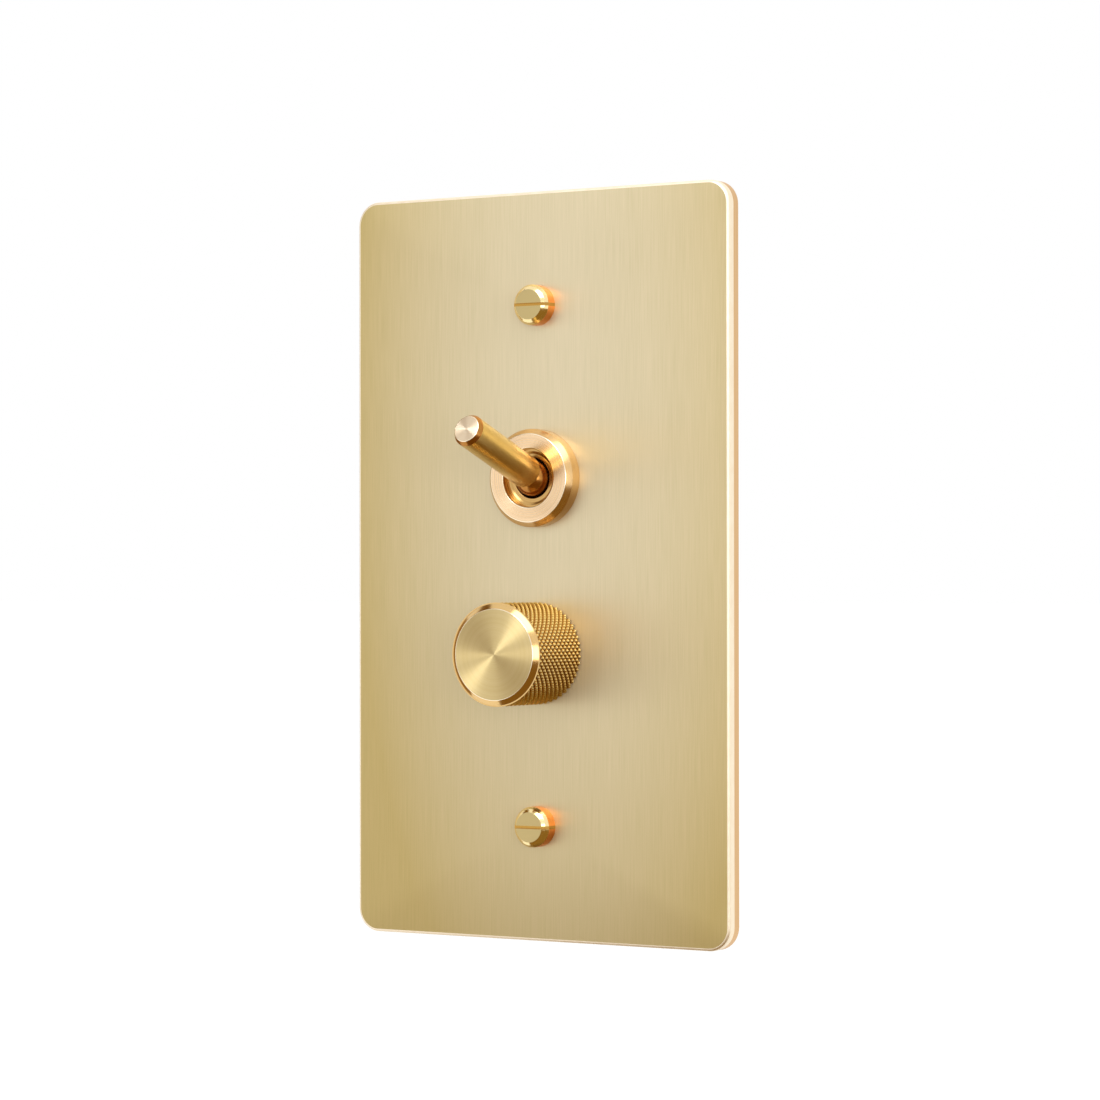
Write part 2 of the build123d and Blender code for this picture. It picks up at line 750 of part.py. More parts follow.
# Dimmer knob: turned brass cap with a bevelled face, a hollow foot and a flatted bore
knob_top = face_front + knob_face_height
knob_base = face_front + knob_base_gap
knob_bevel_foot = knob_top - knob_bevel_height
knob_cavity_top = control_front + knob_cavity_clearance
knob_bore_top = knob_top - knob_face_wall
knob_bore_radius = shaft_radius + knob_bore_clearance
knob_flat_distance = shaft_flat_distance + knob_flat_clearance
knob_bevel_middle = bevel_middle(
    knob_face_radius, knob_top, knob_bevel_outer_radius, knob_bevel_foot
)
with BuildPart() as dimmer_knob:
    with BuildSketch(section(knob_height_on_plate)):
        with BuildLine():
            Polyline(
                (0, knob_top),
                (knob_face_radius, knob_top),
                knob_bevel_middle,
                (knob_bevel_outer_radius, knob_bevel_foot),
                (knob_radius, knob_bevel_foot),
                (knob_radius, knob_base + knob_base_chamfer),
                (knob_radius - knob_base_chamfer, knob_base),
                (knob_cavity_radius, knob_base),
                (knob_cavity_radius, knob_cavity_top),
                (0, knob_cavity_top),
                (0, knob_top),
            )
        make_face()
    revolve(axis=turning_axis(knob_height_on_plate))
    with BuildSketch(level(knob_cavity_top)):
        with Locations((0, knob_height_on_plate)):
            Circle(knob_bore_radius)
        with Locations((0, knob_height_on_plate + knob_flat_distance)):
            Rectangle(
                2 * knob_bore_radius,
                knob_bore_radius,
                align=(Align.CENTER, Align.MIN),
                mode=Mode.SUBTRACT,
            )
    extrude(amount=knob_bore_top - knob_cavity_top, mode=Mode.SUBTRACT)
finish(dimmer_knob, "dimmer_knob")

# Knob clip: steel leaf pressed between the shaft's flat and the flat of the knob's bore
clip_z = knob_height_on_plate + shaft_flat_distance + (knob_flat_clearance - knob_clip_thickness) / 2
with BuildPart() as knob_clip:
    with BuildSketch(level(knob_cavity_top + seat_clearance)):
        with Locations((0, clip_z)):
            Rectangle(knob_clip_width, knob_clip_thickness, align=(Align.CENTER, Align.MIN))
    extrude(amount=knob_clip_length)
finish(knob_clip, "knob_clip")

# Dimmer shaft: steel shaft with a flat inside the knob, set into the rotor behind
shaft_front = knob_bore_top - shaft_end_gap
flat_back = control_front + knob_cavity_clearance / 2
rotor_front = control_flange_back - rotor_front_gap
rotor_back = rotor_front - rotor_thickness
with BuildPart() as dimmer_shaft:
    with BuildSketch(level(rotor_back)):
        with Locations((0, knob_height_on_plate)):
            Circle(shaft_radius)
    extrude(amount=shaft_front - rotor_back)
    shaft_end = dimmer_shaft.faces().sort_by(Axis.Y)[0]
    chamfer(shaft_end.edges(), length=shaft_end_chamfer)
    with BuildSketch(level(flat_back)):
        with Locations((0, knob_height_on_plate + shaft_flat_distance)):
            Rectangle(2 * shaft_radius, shaft_radius, align=(Align.CENTER, Align.MIN))
    extrude(amount=shaft_front - flat_back, mode=Mode.SUBTRACT)
finish(dimmer_shaft, "dimmer_shaft")

# Control case: zinc cup behind the flange that holds the rotor and the track
case_inner_radius = control_case_radius - control_case_wall
track_front = control_case_back + track_thickness
with BuildPart() as control_case:
    with BuildSketch(level(control_case_back)):
        with Locations((0, knob_height_on_plate)):
            Circle(control_case_radius)
            Circle(case_inner_radius, mode=Mode.SUBTRACT)
    extrude(amount=control_case_depth)
finish(control_case, "control_case")

# Rotor: moulded disc on the end of the shaft
with BuildPart() as wiper_rotor:
    with BuildSketch(level(rotor_back)):
        with Locations((0, knob_height_on_plate)):
            Circle(rotor_radius)
            Circle(shaft_radius + fixed_clearance, mode=Mode.SUBTRACT)
    extrude(amount=rotor_thickness)
finish(wiper_rotor, "wiper_rotor")

# Wiper: spring leaf on the rotor's back, whose dome runs on the track
wiper_dome_tip = track_front + wiper_gap
wiper_back = wiper_dome_tip + wiper_dome_rise
wiper_dome_z = knob_height_on_plate + wiper_reach - wiper_dome_radius
with BuildPart() as wiper_contact:
    with BuildSketch(level(wiper_back)):
        with Locations((0, knob_height_on_plate)):
            Rectangle(wiper_width, wiper_reach, align=(Align.CENTER, Align.MIN))
            Circle(shaft_radius - 2 * wiper_thickness)
    extrude(amount=wiper_thickness)
    with BuildSketch(level(wiper_back)):
        with Locations((0, knob_height_on_plate)):
            Circle(shaft_radius - 2 * wiper_thickness)
    extrude(amount=rotor_back - wiper_back)
    with BuildSketch(level(wiper_back)):
        with Locations((0, wiper_dome_z)):
            Circle(wiper_dome_radius)
    with BuildSketch(level(wiper_dome_tip)):
        with Locations((0, wiper_dome_z)):
            Circle(wiper_dome_tip_radius)
    loft()
finish(wiper_contact, "wiper_contact")

# Track: resistance disc that closes the case in front of the board
with BuildPart() as resistance_track:
    with BuildSketch(level(control_case_back)):
        with Locations((0, knob_height_on_plate)):
            Circle(case_inner_radius - fixed_clearance)
    extrude(amount=track_thickness)
finish(resistance_track, "resistance_track")

# Circuit board: seated on the housing posts and the back of the control
board_width = inner_width - 2 * board_gap
board_height = inner_height - 2 * board_gap
with BuildPart() as circuit_board:
    with BuildSketch(level(board_back)):
        with Locations((0, dimmer_z)):
            Rectangle(board_width, board_height)
    extrude(amount=board_thickness)
finish(circuit_board, "circuit_board")

# Choke: wound ring core that lies flat on the board
choke_corner_reach = choke_section_radius / math.cos(math.pi / choke_section_sides)
choke_outer_radius = choke_radius + choke_corner_reach
choke_x = inner_left + choke_side_margin + choke_outer_radius
choke_z = inner_top - choke_top_margin - choke_outer_radius
choke_height = board_back - choke_section_radius
with BuildPart() as choke:
    with BuildSketch(section(choke_z)):
        with Locations((choke_x + choke_radius, choke_height)):
            RegularPolygon(choke_section_radius, choke_section_sides, major_radius=False)
    revolve(axis=turning_axis(choke_z, choke_x))
finish(choke, "choke")

# Capacitor: boxed film capacitor on the board
terminal_strip_left = inner_right - terminal_strip_side_margin - terminal_strip_width
capacitor_left = inner_left + capacitor_side_margin
capacitor_width = terminal_strip_left - capacitor_strip_gap - capacitor_left
capacitor_x = capacitor_left + capacitor_width / 2
capacitor_z = inner_bottom + capacitor_bottom_margin + capacitor_height / 2
with BuildPart() as capacitor:
    with BuildSketch(level(board_back - capacitor_depth)):
        with Locations((capacitor_x, capacitor_z)):
            Rectangle(capacitor_width, capacitor_height)
    extrude(amount=capacitor_depth)
    capacitor_top = capacitor.faces().sort_by(Axis.Y)[-1]
    chamfer(capacitor_top.edges(), length=capacitor_edge)
finish(capacitor, "capacitor")

# Heatsink: folded aluminium plate that stands on the board
heatsink_right = inner_right - heatsink_side_margin
heatsink_width = heatsink_right - (choke_x + choke_outer_radius + heatsink_choke_gap)
heatsink_x = heatsink_right - heatsink_width / 2
heatsink_z = inner_top - heatsink_top_margin - heatsink_foot - heatsink_thickness
heatsink_depth = room_depth - heatsink_cover_gap
triac_tab_end = board_back - heatsink_depth + triac_tab_setback
triac_tab_height = triac_tab_end + triac_tab_length / 2
with BuildPart() as heatsink:
    with BuildSketch(Plane.YZ.offset(heatsink_x)):
        with Locations((-board_back, heatsink_z)):
            Rectangle(heatsink_depth, heatsink_thickness, align=(Align.MIN, Align.MIN))
            Rectangle(
                heatsink_thickness,
                heatsink_foot + heatsink_thickness,
                align=(Align.MIN, Align.MIN),
            )
    extrude(amount=heatsink_width / 2, both=True)
    outer_corner = heatsink.edges().filter_by(Axis.X).group_by(Axis.Z)[0].sort_by(Axis.Y)[0]
    fillet(outer_corner, radius=heatsink_bend)
    with BuildSketch(Plane.XY.offset(heatsink_z)):
        with Locations((heatsink_x, -triac_tab_height)):
            Circle(triac_screw_shank_radius + fixed_clearance)
    extrude(amount=heatsink_thickness, mode=Mode.SUBTRACT)
finish(heatsink, "heatsink")

# Triac: power device screwed flat against the heatsink, its leads in the board
triac_front = triac_tab_end + triac_tab_length + triac_body_depth
triac_lead_length = board_back - triac_front
with BuildPart() as triac:
    with BuildSketch(Plane.XY.offset(heatsink_z)):
        with Locations((heatsink_x, -triac_front)):
            Rectangle(
                triac_width,
                triac_body_depth,
                align=(Align.CENTER, Align.MIN),
            )
    extrude(amount=-triac_body_thickness)
    with BuildSketch(Plane.XY.offset(heatsink_z)):
        with Locations((heatsink_x, -triac_front + triac_body_depth)):
            Rectangle(
                triac_width,
                triac_tab_length,
                align=(Align.CENTER, Align.MIN),
            )
        with Locations((heatsink_x, -triac_tab_height)):
            Circle(triac_hole_radius, mode=Mode.SUBTRACT)
    extrude(amount=-triac_tab_thickness)
    with BuildSketch(level(board_back)):
        with Locations((heatsink_x, heatsink_z - triac_body_thickness / 2)):
            with GridLocations(triac_lead_spacing, triac_lead_spacing, 3, 1):
                Circle(triac_lead_radius)
    extrude(amount=-triac_lead_length)
finish(triac, "triac")

# Screw that holds the triac to the heatsink
tab_face = heatsink_z - triac_tab_thickness
with BuildPart() as triac_screw:
    with BuildSketch(Plane.XY.offset(tab_face)):
        with Locations((heatsink_x, -triac_tab_height)):
            Circle(triac_screw_head_radius)
    extrude(amount=-triac_screw_head_height)
    with BuildSketch(Plane.XY.offset(tab_face)):
        with Locations((heatsink_x, -triac_tab_height)):
            Circle(triac_screw_shank_radius)
    extrude(amount=triac_tab_thickness + heatsink_thickness)
finish(triac_screw, "triac_screw")

# Terminal strip: moulded block on the board that stands through the cover
terminal_strip_x = terminal_strip_left + terminal_strip_width / 2
terminal_strip_z = inner_bottom + terminal_strip_bottom_margin + terminal_strip_height / 2
strip_back = dimmer_back - cover_thickness - terminal_strip_proud
with BuildPart() as terminal_strip:
    with BuildSketch(level(strip_back)):
        with Locations((terminal_strip_x, terminal_strip_z)):
            Rectangle(terminal_strip_width, terminal_strip_height)
    extrude(amount=board_back - strip_back)
    strip_rim = terminal_strip.faces().sort_by(Axis.Y)[-1].edges()
    chamfer(strip_rim, length=terminal_strip_edge)
    with BuildSketch(level(strip_back)):
        with Locations((terminal_strip_x, terminal_strip_z - terminal_strip_row_offset)):
            with GridLocations(terminal_strip_pitch, terminal_strip_pitch, terminal_strip_ways, 1):
                Circle(wire_hole_radius)
    extrude(amount=terminal_strip_wire_depth, mode=Mode.SUBTRACT)
    with BuildSketch(level(strip_back)):
        with Locations((terminal_strip_x, terminal_strip_z + terminal_strip_row_offset)):
            with GridLocations(terminal_strip_pitch, terminal_strip_pitch, terminal_strip_ways, 1):
                Circle(strip_screw_radius + fixed_clearance)
    extrude(amount=strip_screw_sink + strip_screw_length, mode=Mode.SUBTRACT)
finish(terminal_strip, "terminal_strip")

# Clamp screws of the terminal strip
strip_screw_head = strip_back + strip_screw_sink
for way in range(terminal_strip_ways):
    screw_x = terminal_strip_x + (way - (terminal_strip_ways - 1) / 2) * terminal_strip_pitch
    with BuildPart() as strip_screw:
        with BuildSketch(level(strip_screw_head)):
            with Locations((screw_x, terminal_strip_z + terminal_strip_row_offset)):
                Circle(strip_screw_radius)
        extrude(amount=strip_screw_length)
        with BuildSketch(level(strip_screw_head)):
            with Locations((screw_x, terminal_strip_z + terminal_strip_row_offset)):
                Rectangle(2 * strip_screw_radius + 1, terminal_screw_slot_width)
        extrude(amount=terminal_screw_slot_depth, mode=Mode.SUBTRACT)
    finish(strip_screw, f"strip_screw_{way + 1}")

# Dimmer cover: moulded lid with a locating lip and a window for the terminal strip
lip_width = inner_width - 2 * seat_clearance
lip_height = inner_height - 2 * seat_clearance
lip_corner = dimmer_housing_corner - dimmer_housing_wall
with BuildPart() as dimmer_cover:
    with BuildSketch(level(dimmer_back - cover_thickness)):
        with Locations((0, dimmer_z)):
            RectangleRounded(dimmer_housing_width, dimmer_housing_height, dimmer_housing_corner)
    extrude(amount=cover_thickness)
    with BuildSketch(level(dimmer_back)):
        with Locations((0, dimmer_z)):
            RectangleRounded(lip_width, lip_height, lip_corner)
            Rectangle(
                lip_width - 2 * cover_lip_thickness,
                lip_height - 2 * cover_lip_thickness,
                mode=Mode.SUBTRACT,
            )
    extrude(amount=cover_lip_height)
    with BuildSketch(level(dimmer_back - cover_thickness)):
        with Locations((terminal_strip_x, terminal_strip_z)):
            Rectangle(
                terminal_strip_width + 2 * seat_clearance,
                terminal_strip_height + 2 * seat_clearance,
            )
    extrude(amount=cover_thickness + cover_lip_height, mode=Mode.SUBTRACT)
finish(dimmer_cover, "dimmer_cover")
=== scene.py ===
import math

import bmesh
import bpy
from mathutils import Matrix, Vector


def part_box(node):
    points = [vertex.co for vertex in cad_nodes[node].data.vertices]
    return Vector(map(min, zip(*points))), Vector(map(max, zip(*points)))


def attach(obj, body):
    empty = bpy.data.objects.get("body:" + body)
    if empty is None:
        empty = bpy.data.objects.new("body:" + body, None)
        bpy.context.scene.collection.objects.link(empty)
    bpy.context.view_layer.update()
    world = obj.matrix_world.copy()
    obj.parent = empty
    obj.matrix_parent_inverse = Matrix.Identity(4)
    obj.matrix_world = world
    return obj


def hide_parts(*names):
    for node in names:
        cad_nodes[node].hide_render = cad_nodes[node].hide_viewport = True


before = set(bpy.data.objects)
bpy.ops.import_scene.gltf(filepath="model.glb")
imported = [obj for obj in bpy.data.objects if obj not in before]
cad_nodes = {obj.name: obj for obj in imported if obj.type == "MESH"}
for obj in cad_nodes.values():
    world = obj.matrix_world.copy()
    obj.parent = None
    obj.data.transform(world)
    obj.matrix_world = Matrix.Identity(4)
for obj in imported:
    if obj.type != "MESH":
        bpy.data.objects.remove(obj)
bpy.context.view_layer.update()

# Moulded parts of the switch and the dimmer: black phenolic housings, white nylon sliding parts
# and a white terminal block, all pressed in spark-eroded moulds that leave a fine even grain.


def linear(hex_colour):
    """The linear colour of an sRGB hex value."""
    channels = [int(hex_colour[place:place + 2], 16) / 255 for place in (0, 2, 4)]
    curved = [c / 12.92 if c <= 0.04045 else ((c + 0.055) / 1.055) ** 2.4 for c in channels]
    return (*curved, 1.0)


def add(tree, kind, inputs=None, **settings):
    """Add a node, with its settings, and its inputs as values or as links from other nodes."""
    made = tree.nodes.new(kind)
    for name, value in settings.items():
        setattr(made, name, value)
    for key, value in (inputs or {}).items():
        if isinstance(value, bpy.types.NodeSocket):
            tree.links.new(value, made.inputs[key])
        else:
            made.inputs[key].default_value = value
    return made


def start_finish(name, **constants):
    """A material's tree and shader, the shader's constant values set on its own sockets."""
    finish = bpy.data.materials.new(name)
    finish.use_nodes = True
    shader = finish.node_tree.nodes["Principled BSDF"]
    for socket, value in constants.items():
        shader.inputs[socket.replace("_", " ")].default_value = value
    return finish, finish.node_tree, shader


def dress(finish, *names):
    """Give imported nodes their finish."""
    for name in names:
        cad_nodes[name].material_slots[0].material = finish


per_mm = 1000.0
# The mould's real grain is about 0.03 mm. It is drawn coarser, so that it shows in the render.
spark_grain_mm = 0.12
spark_relief_mm = 0.02
flow_mark_mm = 4.0


def moulded(name, colour, worn_colour, gloss):
    """Moulded plastic: an even spark grain, faint flow marks and a slightly uneven gloss."""
    finish, tree, shader = start_finish(name, IOR=1.54)
    place = add(tree, "ShaderNodeTexCoord").outputs["Object"]
    flow = add(tree, "ShaderNodeTexNoise", {"Vector": place, "Scale": per_mm / flow_mark_mm})
    grain = add(tree, "ShaderNodeTexNoise", {"Vector": place, "Scale": per_mm / spark_grain_mm})
    tint = add(
        tree, "ShaderNodeMix",
        {0: flow.outputs["Fac"], 6: linear(colour), 7: linear(worn_colour)}, data_type="RGBA",
    )
    shine = add(
        tree, "ShaderNodeMapRange", {"Value": flow.outputs["Fac"], 3: gloss - 0.06, 4: gloss + 0.08}
    )
    relief = add(
        tree, "ShaderNodeBump",
        {"Height": grain.outputs["Fac"], "Strength": 0.25, "Distance": spark_relief_mm / per_mm},
    )
    tree.links.new(tint.outputs[2], shader.inputs["Base Color"])
    tree.links.new(shine.outputs["Result"], shader.inputs["Roughness"])
    tree.links.new(relief.outputs["Normal"], shader.inputs["Normal"])
    return finish


dress(
    moulded("black_phenolic_moulding", "1d1c1c", "272524", 0.42),
    "switch_base", "switch_housing", "dimmer_housing", "dimmer_cover", "triac",
)
dress(
    moulded("white_nylon_moulding", "e6e2d6", "d9d3c4", 0.38),
    "contact_carriage", "wiper_rotor", "terminal_strip",
)

# Sheet and bar metal that stays out of sight: zinc-plated steel strap and frames, bright steel
# shaft and screws, a blued steel pin, brass terminals, silver contacts and an aluminium
# heatsink, each rolled, pressed or turned.

# Rolling lines are really finer than this. They are drawn as coarse as they need to be to show.
rolling_line_mm = 0.25
rolling_length_mm = 12.0
cloud_mm = 5.0


def bare_metal(name, colour, clouded_colour, roughness):
    """Rolled or turned metal with faint clouds in its tone and fine working lines."""
    finish, tree, shader = start_finish(name, Metallic=1.0)
    place = add(tree, "ShaderNodeTexCoord").outputs["Object"]
    clouds = add(
        tree, "ShaderNodeTexNoise", {"Vector": place, "Scale": per_mm / cloud_mm, "Detail": 3.0}
    )
    drawn = add(
        tree, "ShaderNodeMapping",
        {"Vector": place, "Scale": (
            per_mm / rolling_line_mm, per_mm / rolling_line_mm, per_mm / rolling_length_mm,
        )},
    )
    lines = add(tree, "ShaderNodeTexNoise", {"Vector": drawn.outputs["Vector"], "Scale": 1.0})
    tint = add(
        tree, "ShaderNodeMix",
        {0: clouds.outputs["Fac"], 6: linear(colour), 7: linear(clouded_colour)},
        data_type="RGBA",
    )
    shine = add(
        tree, "ShaderNodeMapRange",
        {"Value": lines.outputs["Fac"], 3: roughness - 0.07, 4: roughness + 0.09},
    )
    tree.links.new(tint.outputs[2], shader.inputs["Base Color"])
    tree.links.new(shine.outputs["Result"], shader.inputs["Roughness"])
    return finish


dress(
    bare_metal("zinc_plated_steel", "c6c8c6", "aeb4b8", 0.38),
    "mounting_strap", "earth_screw", "switch_frame", "control_case",
)
dress(
    bare_metal("bright_steel", "cfd0d2", "b9bbbe", 0.24),
    "switch_screw_upper", "switch_screw_common", "switch_screw_lower",
    "control_washer", "knob_clip", "dimmer_shaft", "triac_screw",
    "strip_screw_1", "strip_screw_2", "strip_screw_3",
)
dress(bare_metal("blued_steel_pin", "3d3630", "2c2724", 0.3), "pivot_pin")
dress(
    bare_metal("silver_contact_alloy", "dcd9d2", "c9c4b8", 0.3), "moving_contact", "wiper_contact"
)
dress(bare_metal("mill_finish_aluminium", "c9cbcd", "babdc0", 0.42), "heatsink")
dress(
    bare_metal("turned_terminal_brass", "d2b36c", "c0a05a", 0.28),
    "switch_terminal_upper", "switch_terminal_common", "switch_terminal_lower",
    "control_bushing", "control_nut",
)

# Circuit board and what stands on it: green glass laminate, brown phenolic track, a boxed film
# capacitor and a choke wound with enamelled copper wire.

weave_mm = 0.6


def laminate(name, colour, dark_colour, gloss):
    """Pressed laminate: the cloth's weave shows faintly through the glossy resin."""
    finish, tree, shader = start_finish(name, IOR=1.55, Roughness=gloss)
    place = add(tree, "ShaderNodeTexCoord").outputs["Object"]
    warp = add(
        tree, "ShaderNodeTexWave",
        {"Vector": place, "Scale": per_mm / weave_mm / math.tau}, bands_direction="X",
    )
    weft = add(
        tree, "ShaderNodeTexWave",
        {"Vector": place, "Scale": per_mm / weave_mm / math.tau}, bands_direction="Z",
    )
    crossing = add(
        tree, "ShaderNodeMath", {0: warp.outputs["Fac"], 1: weft.outputs["Fac"]},
        operation="MULTIPLY",
    )
    tint = add(
        tree, "ShaderNodeMix",
        {0: crossing.outputs[0], 6: linear(colour), 7: linear(dark_colour)}, data_type="RGBA",
    )
    tree.links.new(tint.outputs[2], shader.inputs["Base Color"])
    return finish


dress(laminate("green_glass_laminate", "2f5c37", "28512f", 0.3), "circuit_board")
dress(laminate("brown_phenolic_laminate", "4b3324", "3f2a1d", 0.45), "resistance_track")
dress(moulded("yellow_capacitor_case", "c9a13a", "bd9430", 0.25), "capacitor")

# Enamelled copper wire: shiny turns with dark lines between them, side by side round the ring.
wire_turns = 72
wire_relief_mm = 0.15
choke_low, choke_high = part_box("choke")
choke_centre = (choke_low + choke_high) / 2
finish, tree, shader = start_finish("enamelled_copper_winding", Metallic=1.0, Roughness=0.26)
place = add(tree, "ShaderNodeTexCoord").outputs["Object"]
centred = add(tree, "ShaderNodeVectorMath", {0: place, 1: choke_centre}, operation="SUBTRACT")
axes = add(tree, "ShaderNodeSeparateXYZ", {0: centred.outputs["Vector"]})
angle = add(
    tree, "ShaderNodeMath", {0: axes.outputs["Z"], 1: axes.outputs["X"]}, operation="ARCTAN2"
)
turns = add(
    tree, "ShaderNodeMath", {0: angle.outputs[0], 1: float(wire_turns)}, operation="MULTIPLY"
)
wires = add(tree, "ShaderNodeMath", {0: turns.outputs[0]}, operation="COSINE")
tint = add(
    tree, "ShaderNodeMix",
    {0: wires.outputs[0], 6: linear("7d3f1f"), 7: linear("c9763f")}, data_type="RGBA",
)
relief = add(
    tree, "ShaderNodeBump",
    {"Height": wires.outputs[0], "Strength": 0.8, "Distance": wire_relief_mm / per_mm},
)
tree.links.new(tint.outputs[2], shader.inputs["Base Color"])
tree.links.new(relief.outputs["Normal"], shader.inputs["Normal"])
dress(finish, "choke")

# Toggle bushing: threaded brass barrel turned on a lathe. Only its front ledge and the throat
# that the ball swings in show, inside the ring.


def corner_arc(before, here, after, rounding, steps):
    """The points of an outline's rounded corner."""
    towards_before = (before - here).normalized()
    towards_after = (after - here).normalized()
    half = towards_before.angle(towards_after) / 2
    centre = here + (towards_before + towards_after).normalized() * rounding / math.sin(half)
    first = here + towards_before * rounding / math.tan(half) - centre
    last = here + towards_after * rounding / math.tan(half) - centre
    start = math.atan2(first.y, first.x)
    sweep = math.remainder(math.atan2(last.y, last.x) - start, math.tau)
    angles = [start + sweep * step / steps for step in range(steps + 1)]
    return [centre + rounding * Vector((math.cos(a), math.sin(a))) for a in angles]


def outline_of(corners, steps=5):
    """A turned outline from (radius, height, rounding) corners, in millimetres."""
    points = []
    for index, (radius, height, rounding) in enumerate(corners):
        here = Vector((radius, height))
        if rounding:
            before = Vector(corners[index - 1][:2])
            after = Vector(corners[(index + 1) % len(corners)][:2])
            points += corner_arc(before, here, after, rounding, steps)
        else:
            points.append(here)
    return points


def mesh_of(name, shape, sharp_degrees):
    """The mesh of a finished shape, smooth but for the edges that turn by more than an angle."""
    mesh = bpy.data.meshes.new(name)
    shape.to_mesh(mesh)
    shape.free()
    mesh.shade_smooth()
    mesh.set_sharp_from_angle(angle=math.radians(sharp_degrees))
    return mesh


def new_object(name, data):
    """An object for a mesh, a lamp or a camera, linked to the scene."""
    made = bpy.data.objects.new(name, data)
    bpy.context.scene.collection.objects.link(made)
    return made


turned_sharp_degrees = 38


def turned(name, outline, place, segments=96, closed=False):
    """Turn an outline round the wall's normal, then put it in its place.

    Each point keeps the direction of its tool lines in "groove" and its radius and height in
    "lathe", for the finish.
    """
    shape = bmesh.new()
    groove = shape.verts.layers.float_vector.new("groove")
    lathe = shape.verts.layers.float_vector.new("lathe")
    rings = []
    for radius, height in outline:
        ring = []
        for segment in range(segments if radius > 1e-6 else 1):
            angle = math.tau * segment / segments
            corner = Vector((radius * math.cos(angle), -height, radius * math.sin(angle)))
            point = shape.verts.new(place @ (corner / per_mm))
            line = Vector((-math.sin(angle), 0, math.cos(angle))) if radius > 1e-6 else Vector()
            point[groove] = place.to_3x3() @ line
            point[lathe] = Vector((radius, height, 0))
            ring.append(point)
        rings.append(ring)
    pairs = list(zip(rings, rings[1:] + rings[:1])) if closed else list(zip(rings, rings[1:]))
    for near, far in pairs:
        for segment in range(segments):
            following = (segment + 1) % segments
            corners = [near[segment % len(near)], near[following % len(near)],
                       far[following % len(far)], far[segment % len(far)]]
            shape.faces.new(list(dict.fromkeys(corners)))
    bmesh.ops.recalc_face_normals(shape, faces=shape.faces)
    return new_object(name, mesh_of(name, shape, turned_sharp_degrees))


def on_wall(height_on_plate):
    """The place of a turned piece that stands square to the wall."""
    return Matrix.Translation((0, 0, height_on_plate / per_mm))


def span(name):
    """A node's lowest and highest corner in millimetres."""
    low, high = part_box(name)
    return low * per_mm, high * per_mm


def turned_brass(name, colour, line_colour, roughness, spread, ring_mm=0.16, uneven=0.05):
    """Brass fresh from the lathe: the light streaks across its fine circular tool lines.

    Real tool lines are some 0.05 mm apart. They are drawn coarser, so that they show.
    """
    finish, tree, shader = start_finish(name, Metallic=1.0, Anisotropic=spread)
    lathe = add(tree, "ShaderNodeAttribute", attribute_name="lathe").outputs["Vector"]
    groove = add(tree, "ShaderNodeAttribute", attribute_name="groove").outputs["Vector"]
    normal = add(tree, "ShaderNodeTexCoord").outputs["Normal"]
    across = add(tree, "ShaderNodeVectorMath", {0: normal, 1: groove}, operation="CROSS_PRODUCT")
    tangent = add(
        tree, "ShaderNodeVectorTransform", {0: across.outputs["Vector"]},
        vector_type="VECTOR", convert_from="OBJECT", convert_to="WORLD",
    )
    lines = add(
        tree, "ShaderNodeTexNoise", {"Vector": lathe, "Scale": 1 / ring_mm, "Detail": 3.0}
    )
    tint = add(
        tree, "ShaderNodeMix",
        {0: lines.outputs["Fac"], 6: linear(line_colour), 7: linear(colour)}, data_type="RGBA",
    )
    shine = add(
        tree, "ShaderNodeMapRange",
        {"Value": lines.outputs["Fac"], 3: roughness + uneven, 4: roughness - uneven},
    )
    tree.links.new(tint.outputs[2], shader.inputs["Base Color"])
    tree.links.new(shine.outputs["Result"], shader.inputs["Roughness"])
    tree.links.new(tangent.outputs["Vector"], shader.inputs["Tangent"])
    return finish


def fit(piece, finish, body, slot, *replaced):
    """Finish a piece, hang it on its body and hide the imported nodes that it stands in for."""
    if not piece.data.materials:
        piece.data.materials.append(finish)
    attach(piece, body)
    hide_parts(*replaced)


toggle_z = 14.0
ball_radius = 3.0
bushing_low, bushing_high = span("toggle_bushing")
bushing_front = -bushing_low.y
bushing_back = -bushing_high.y
bushing_thread = 6.0
mouth_radius = 4.3
ledge_radius = 3.9
flange_radius = (bushing_high.x - bushing_low.x) / 2
flange_thickness = 0.8
ledge_depth = 0.15
throat_radius = 3.25
throat_length = 1.7
cone_length = 1.05
bore_radius = 4.3
ledge = bushing_front - ledge_depth
bushing = turned(
    "toggle_bushing_turned",
    outline_of([
        (bushing_thread, bushing_front, 0.08),
        (mouth_radius, bushing_front, 0.05),
        (ledge_radius, ledge, 0.1),
        (throat_radius, ledge, 0.12),
        (throat_radius, ledge - throat_length, 0),
        (bore_radius, ledge - throat_length - cone_length, 0),
        (bore_radius, bushing_back, 0),
        (flange_radius, bushing_back, 0.1),
        (flange_radius, bushing_back + flange_thickness, 0.1),
        (bushing_thread, bushing_back + flange_thickness, 0),
    ]),
    on_wall(toggle_z), closed=True,
)
fit(
    bushing, turned_brass("turned_bushing_brass", "e0b878", "b98d4c", 0.2, 0.6),
    "plate", "turned_brass", "toggle_bushing",
)

# Toggle lever: rod, ball and inner arm turned from one brass bar and polished, with a small
# bevel round its spun tip. It swings on the pin through the ball and hangs on its own body.


def cut_away(piece, shape, sharp_degrees):
    """Cut a closed shape out of a piece and mark the sharp edges again."""
    cutter = new_object("cutter", mesh_of("cutter", shape, sharp_degrees))
    cutting = piece.modifiers.new("cut", "BOOLEAN")
    cutting.object = cutter
    cutting.operation = "DIFFERENCE"
    bpy.context.view_layer.update()
    evaluated = piece.evaluated_get(bpy.context.evaluated_depsgraph_get())
    made = bpy.data.meshes.new_from_object(evaluated)
    piece.modifiers.clear()
    piece.data = made
    piece.data.materials.clear()
    bpy.data.objects.remove(cutter)
    piece.data.shade_smooth()
    piece.data.set_sharp_from_angle(angle=math.radians(sharp_degrees))


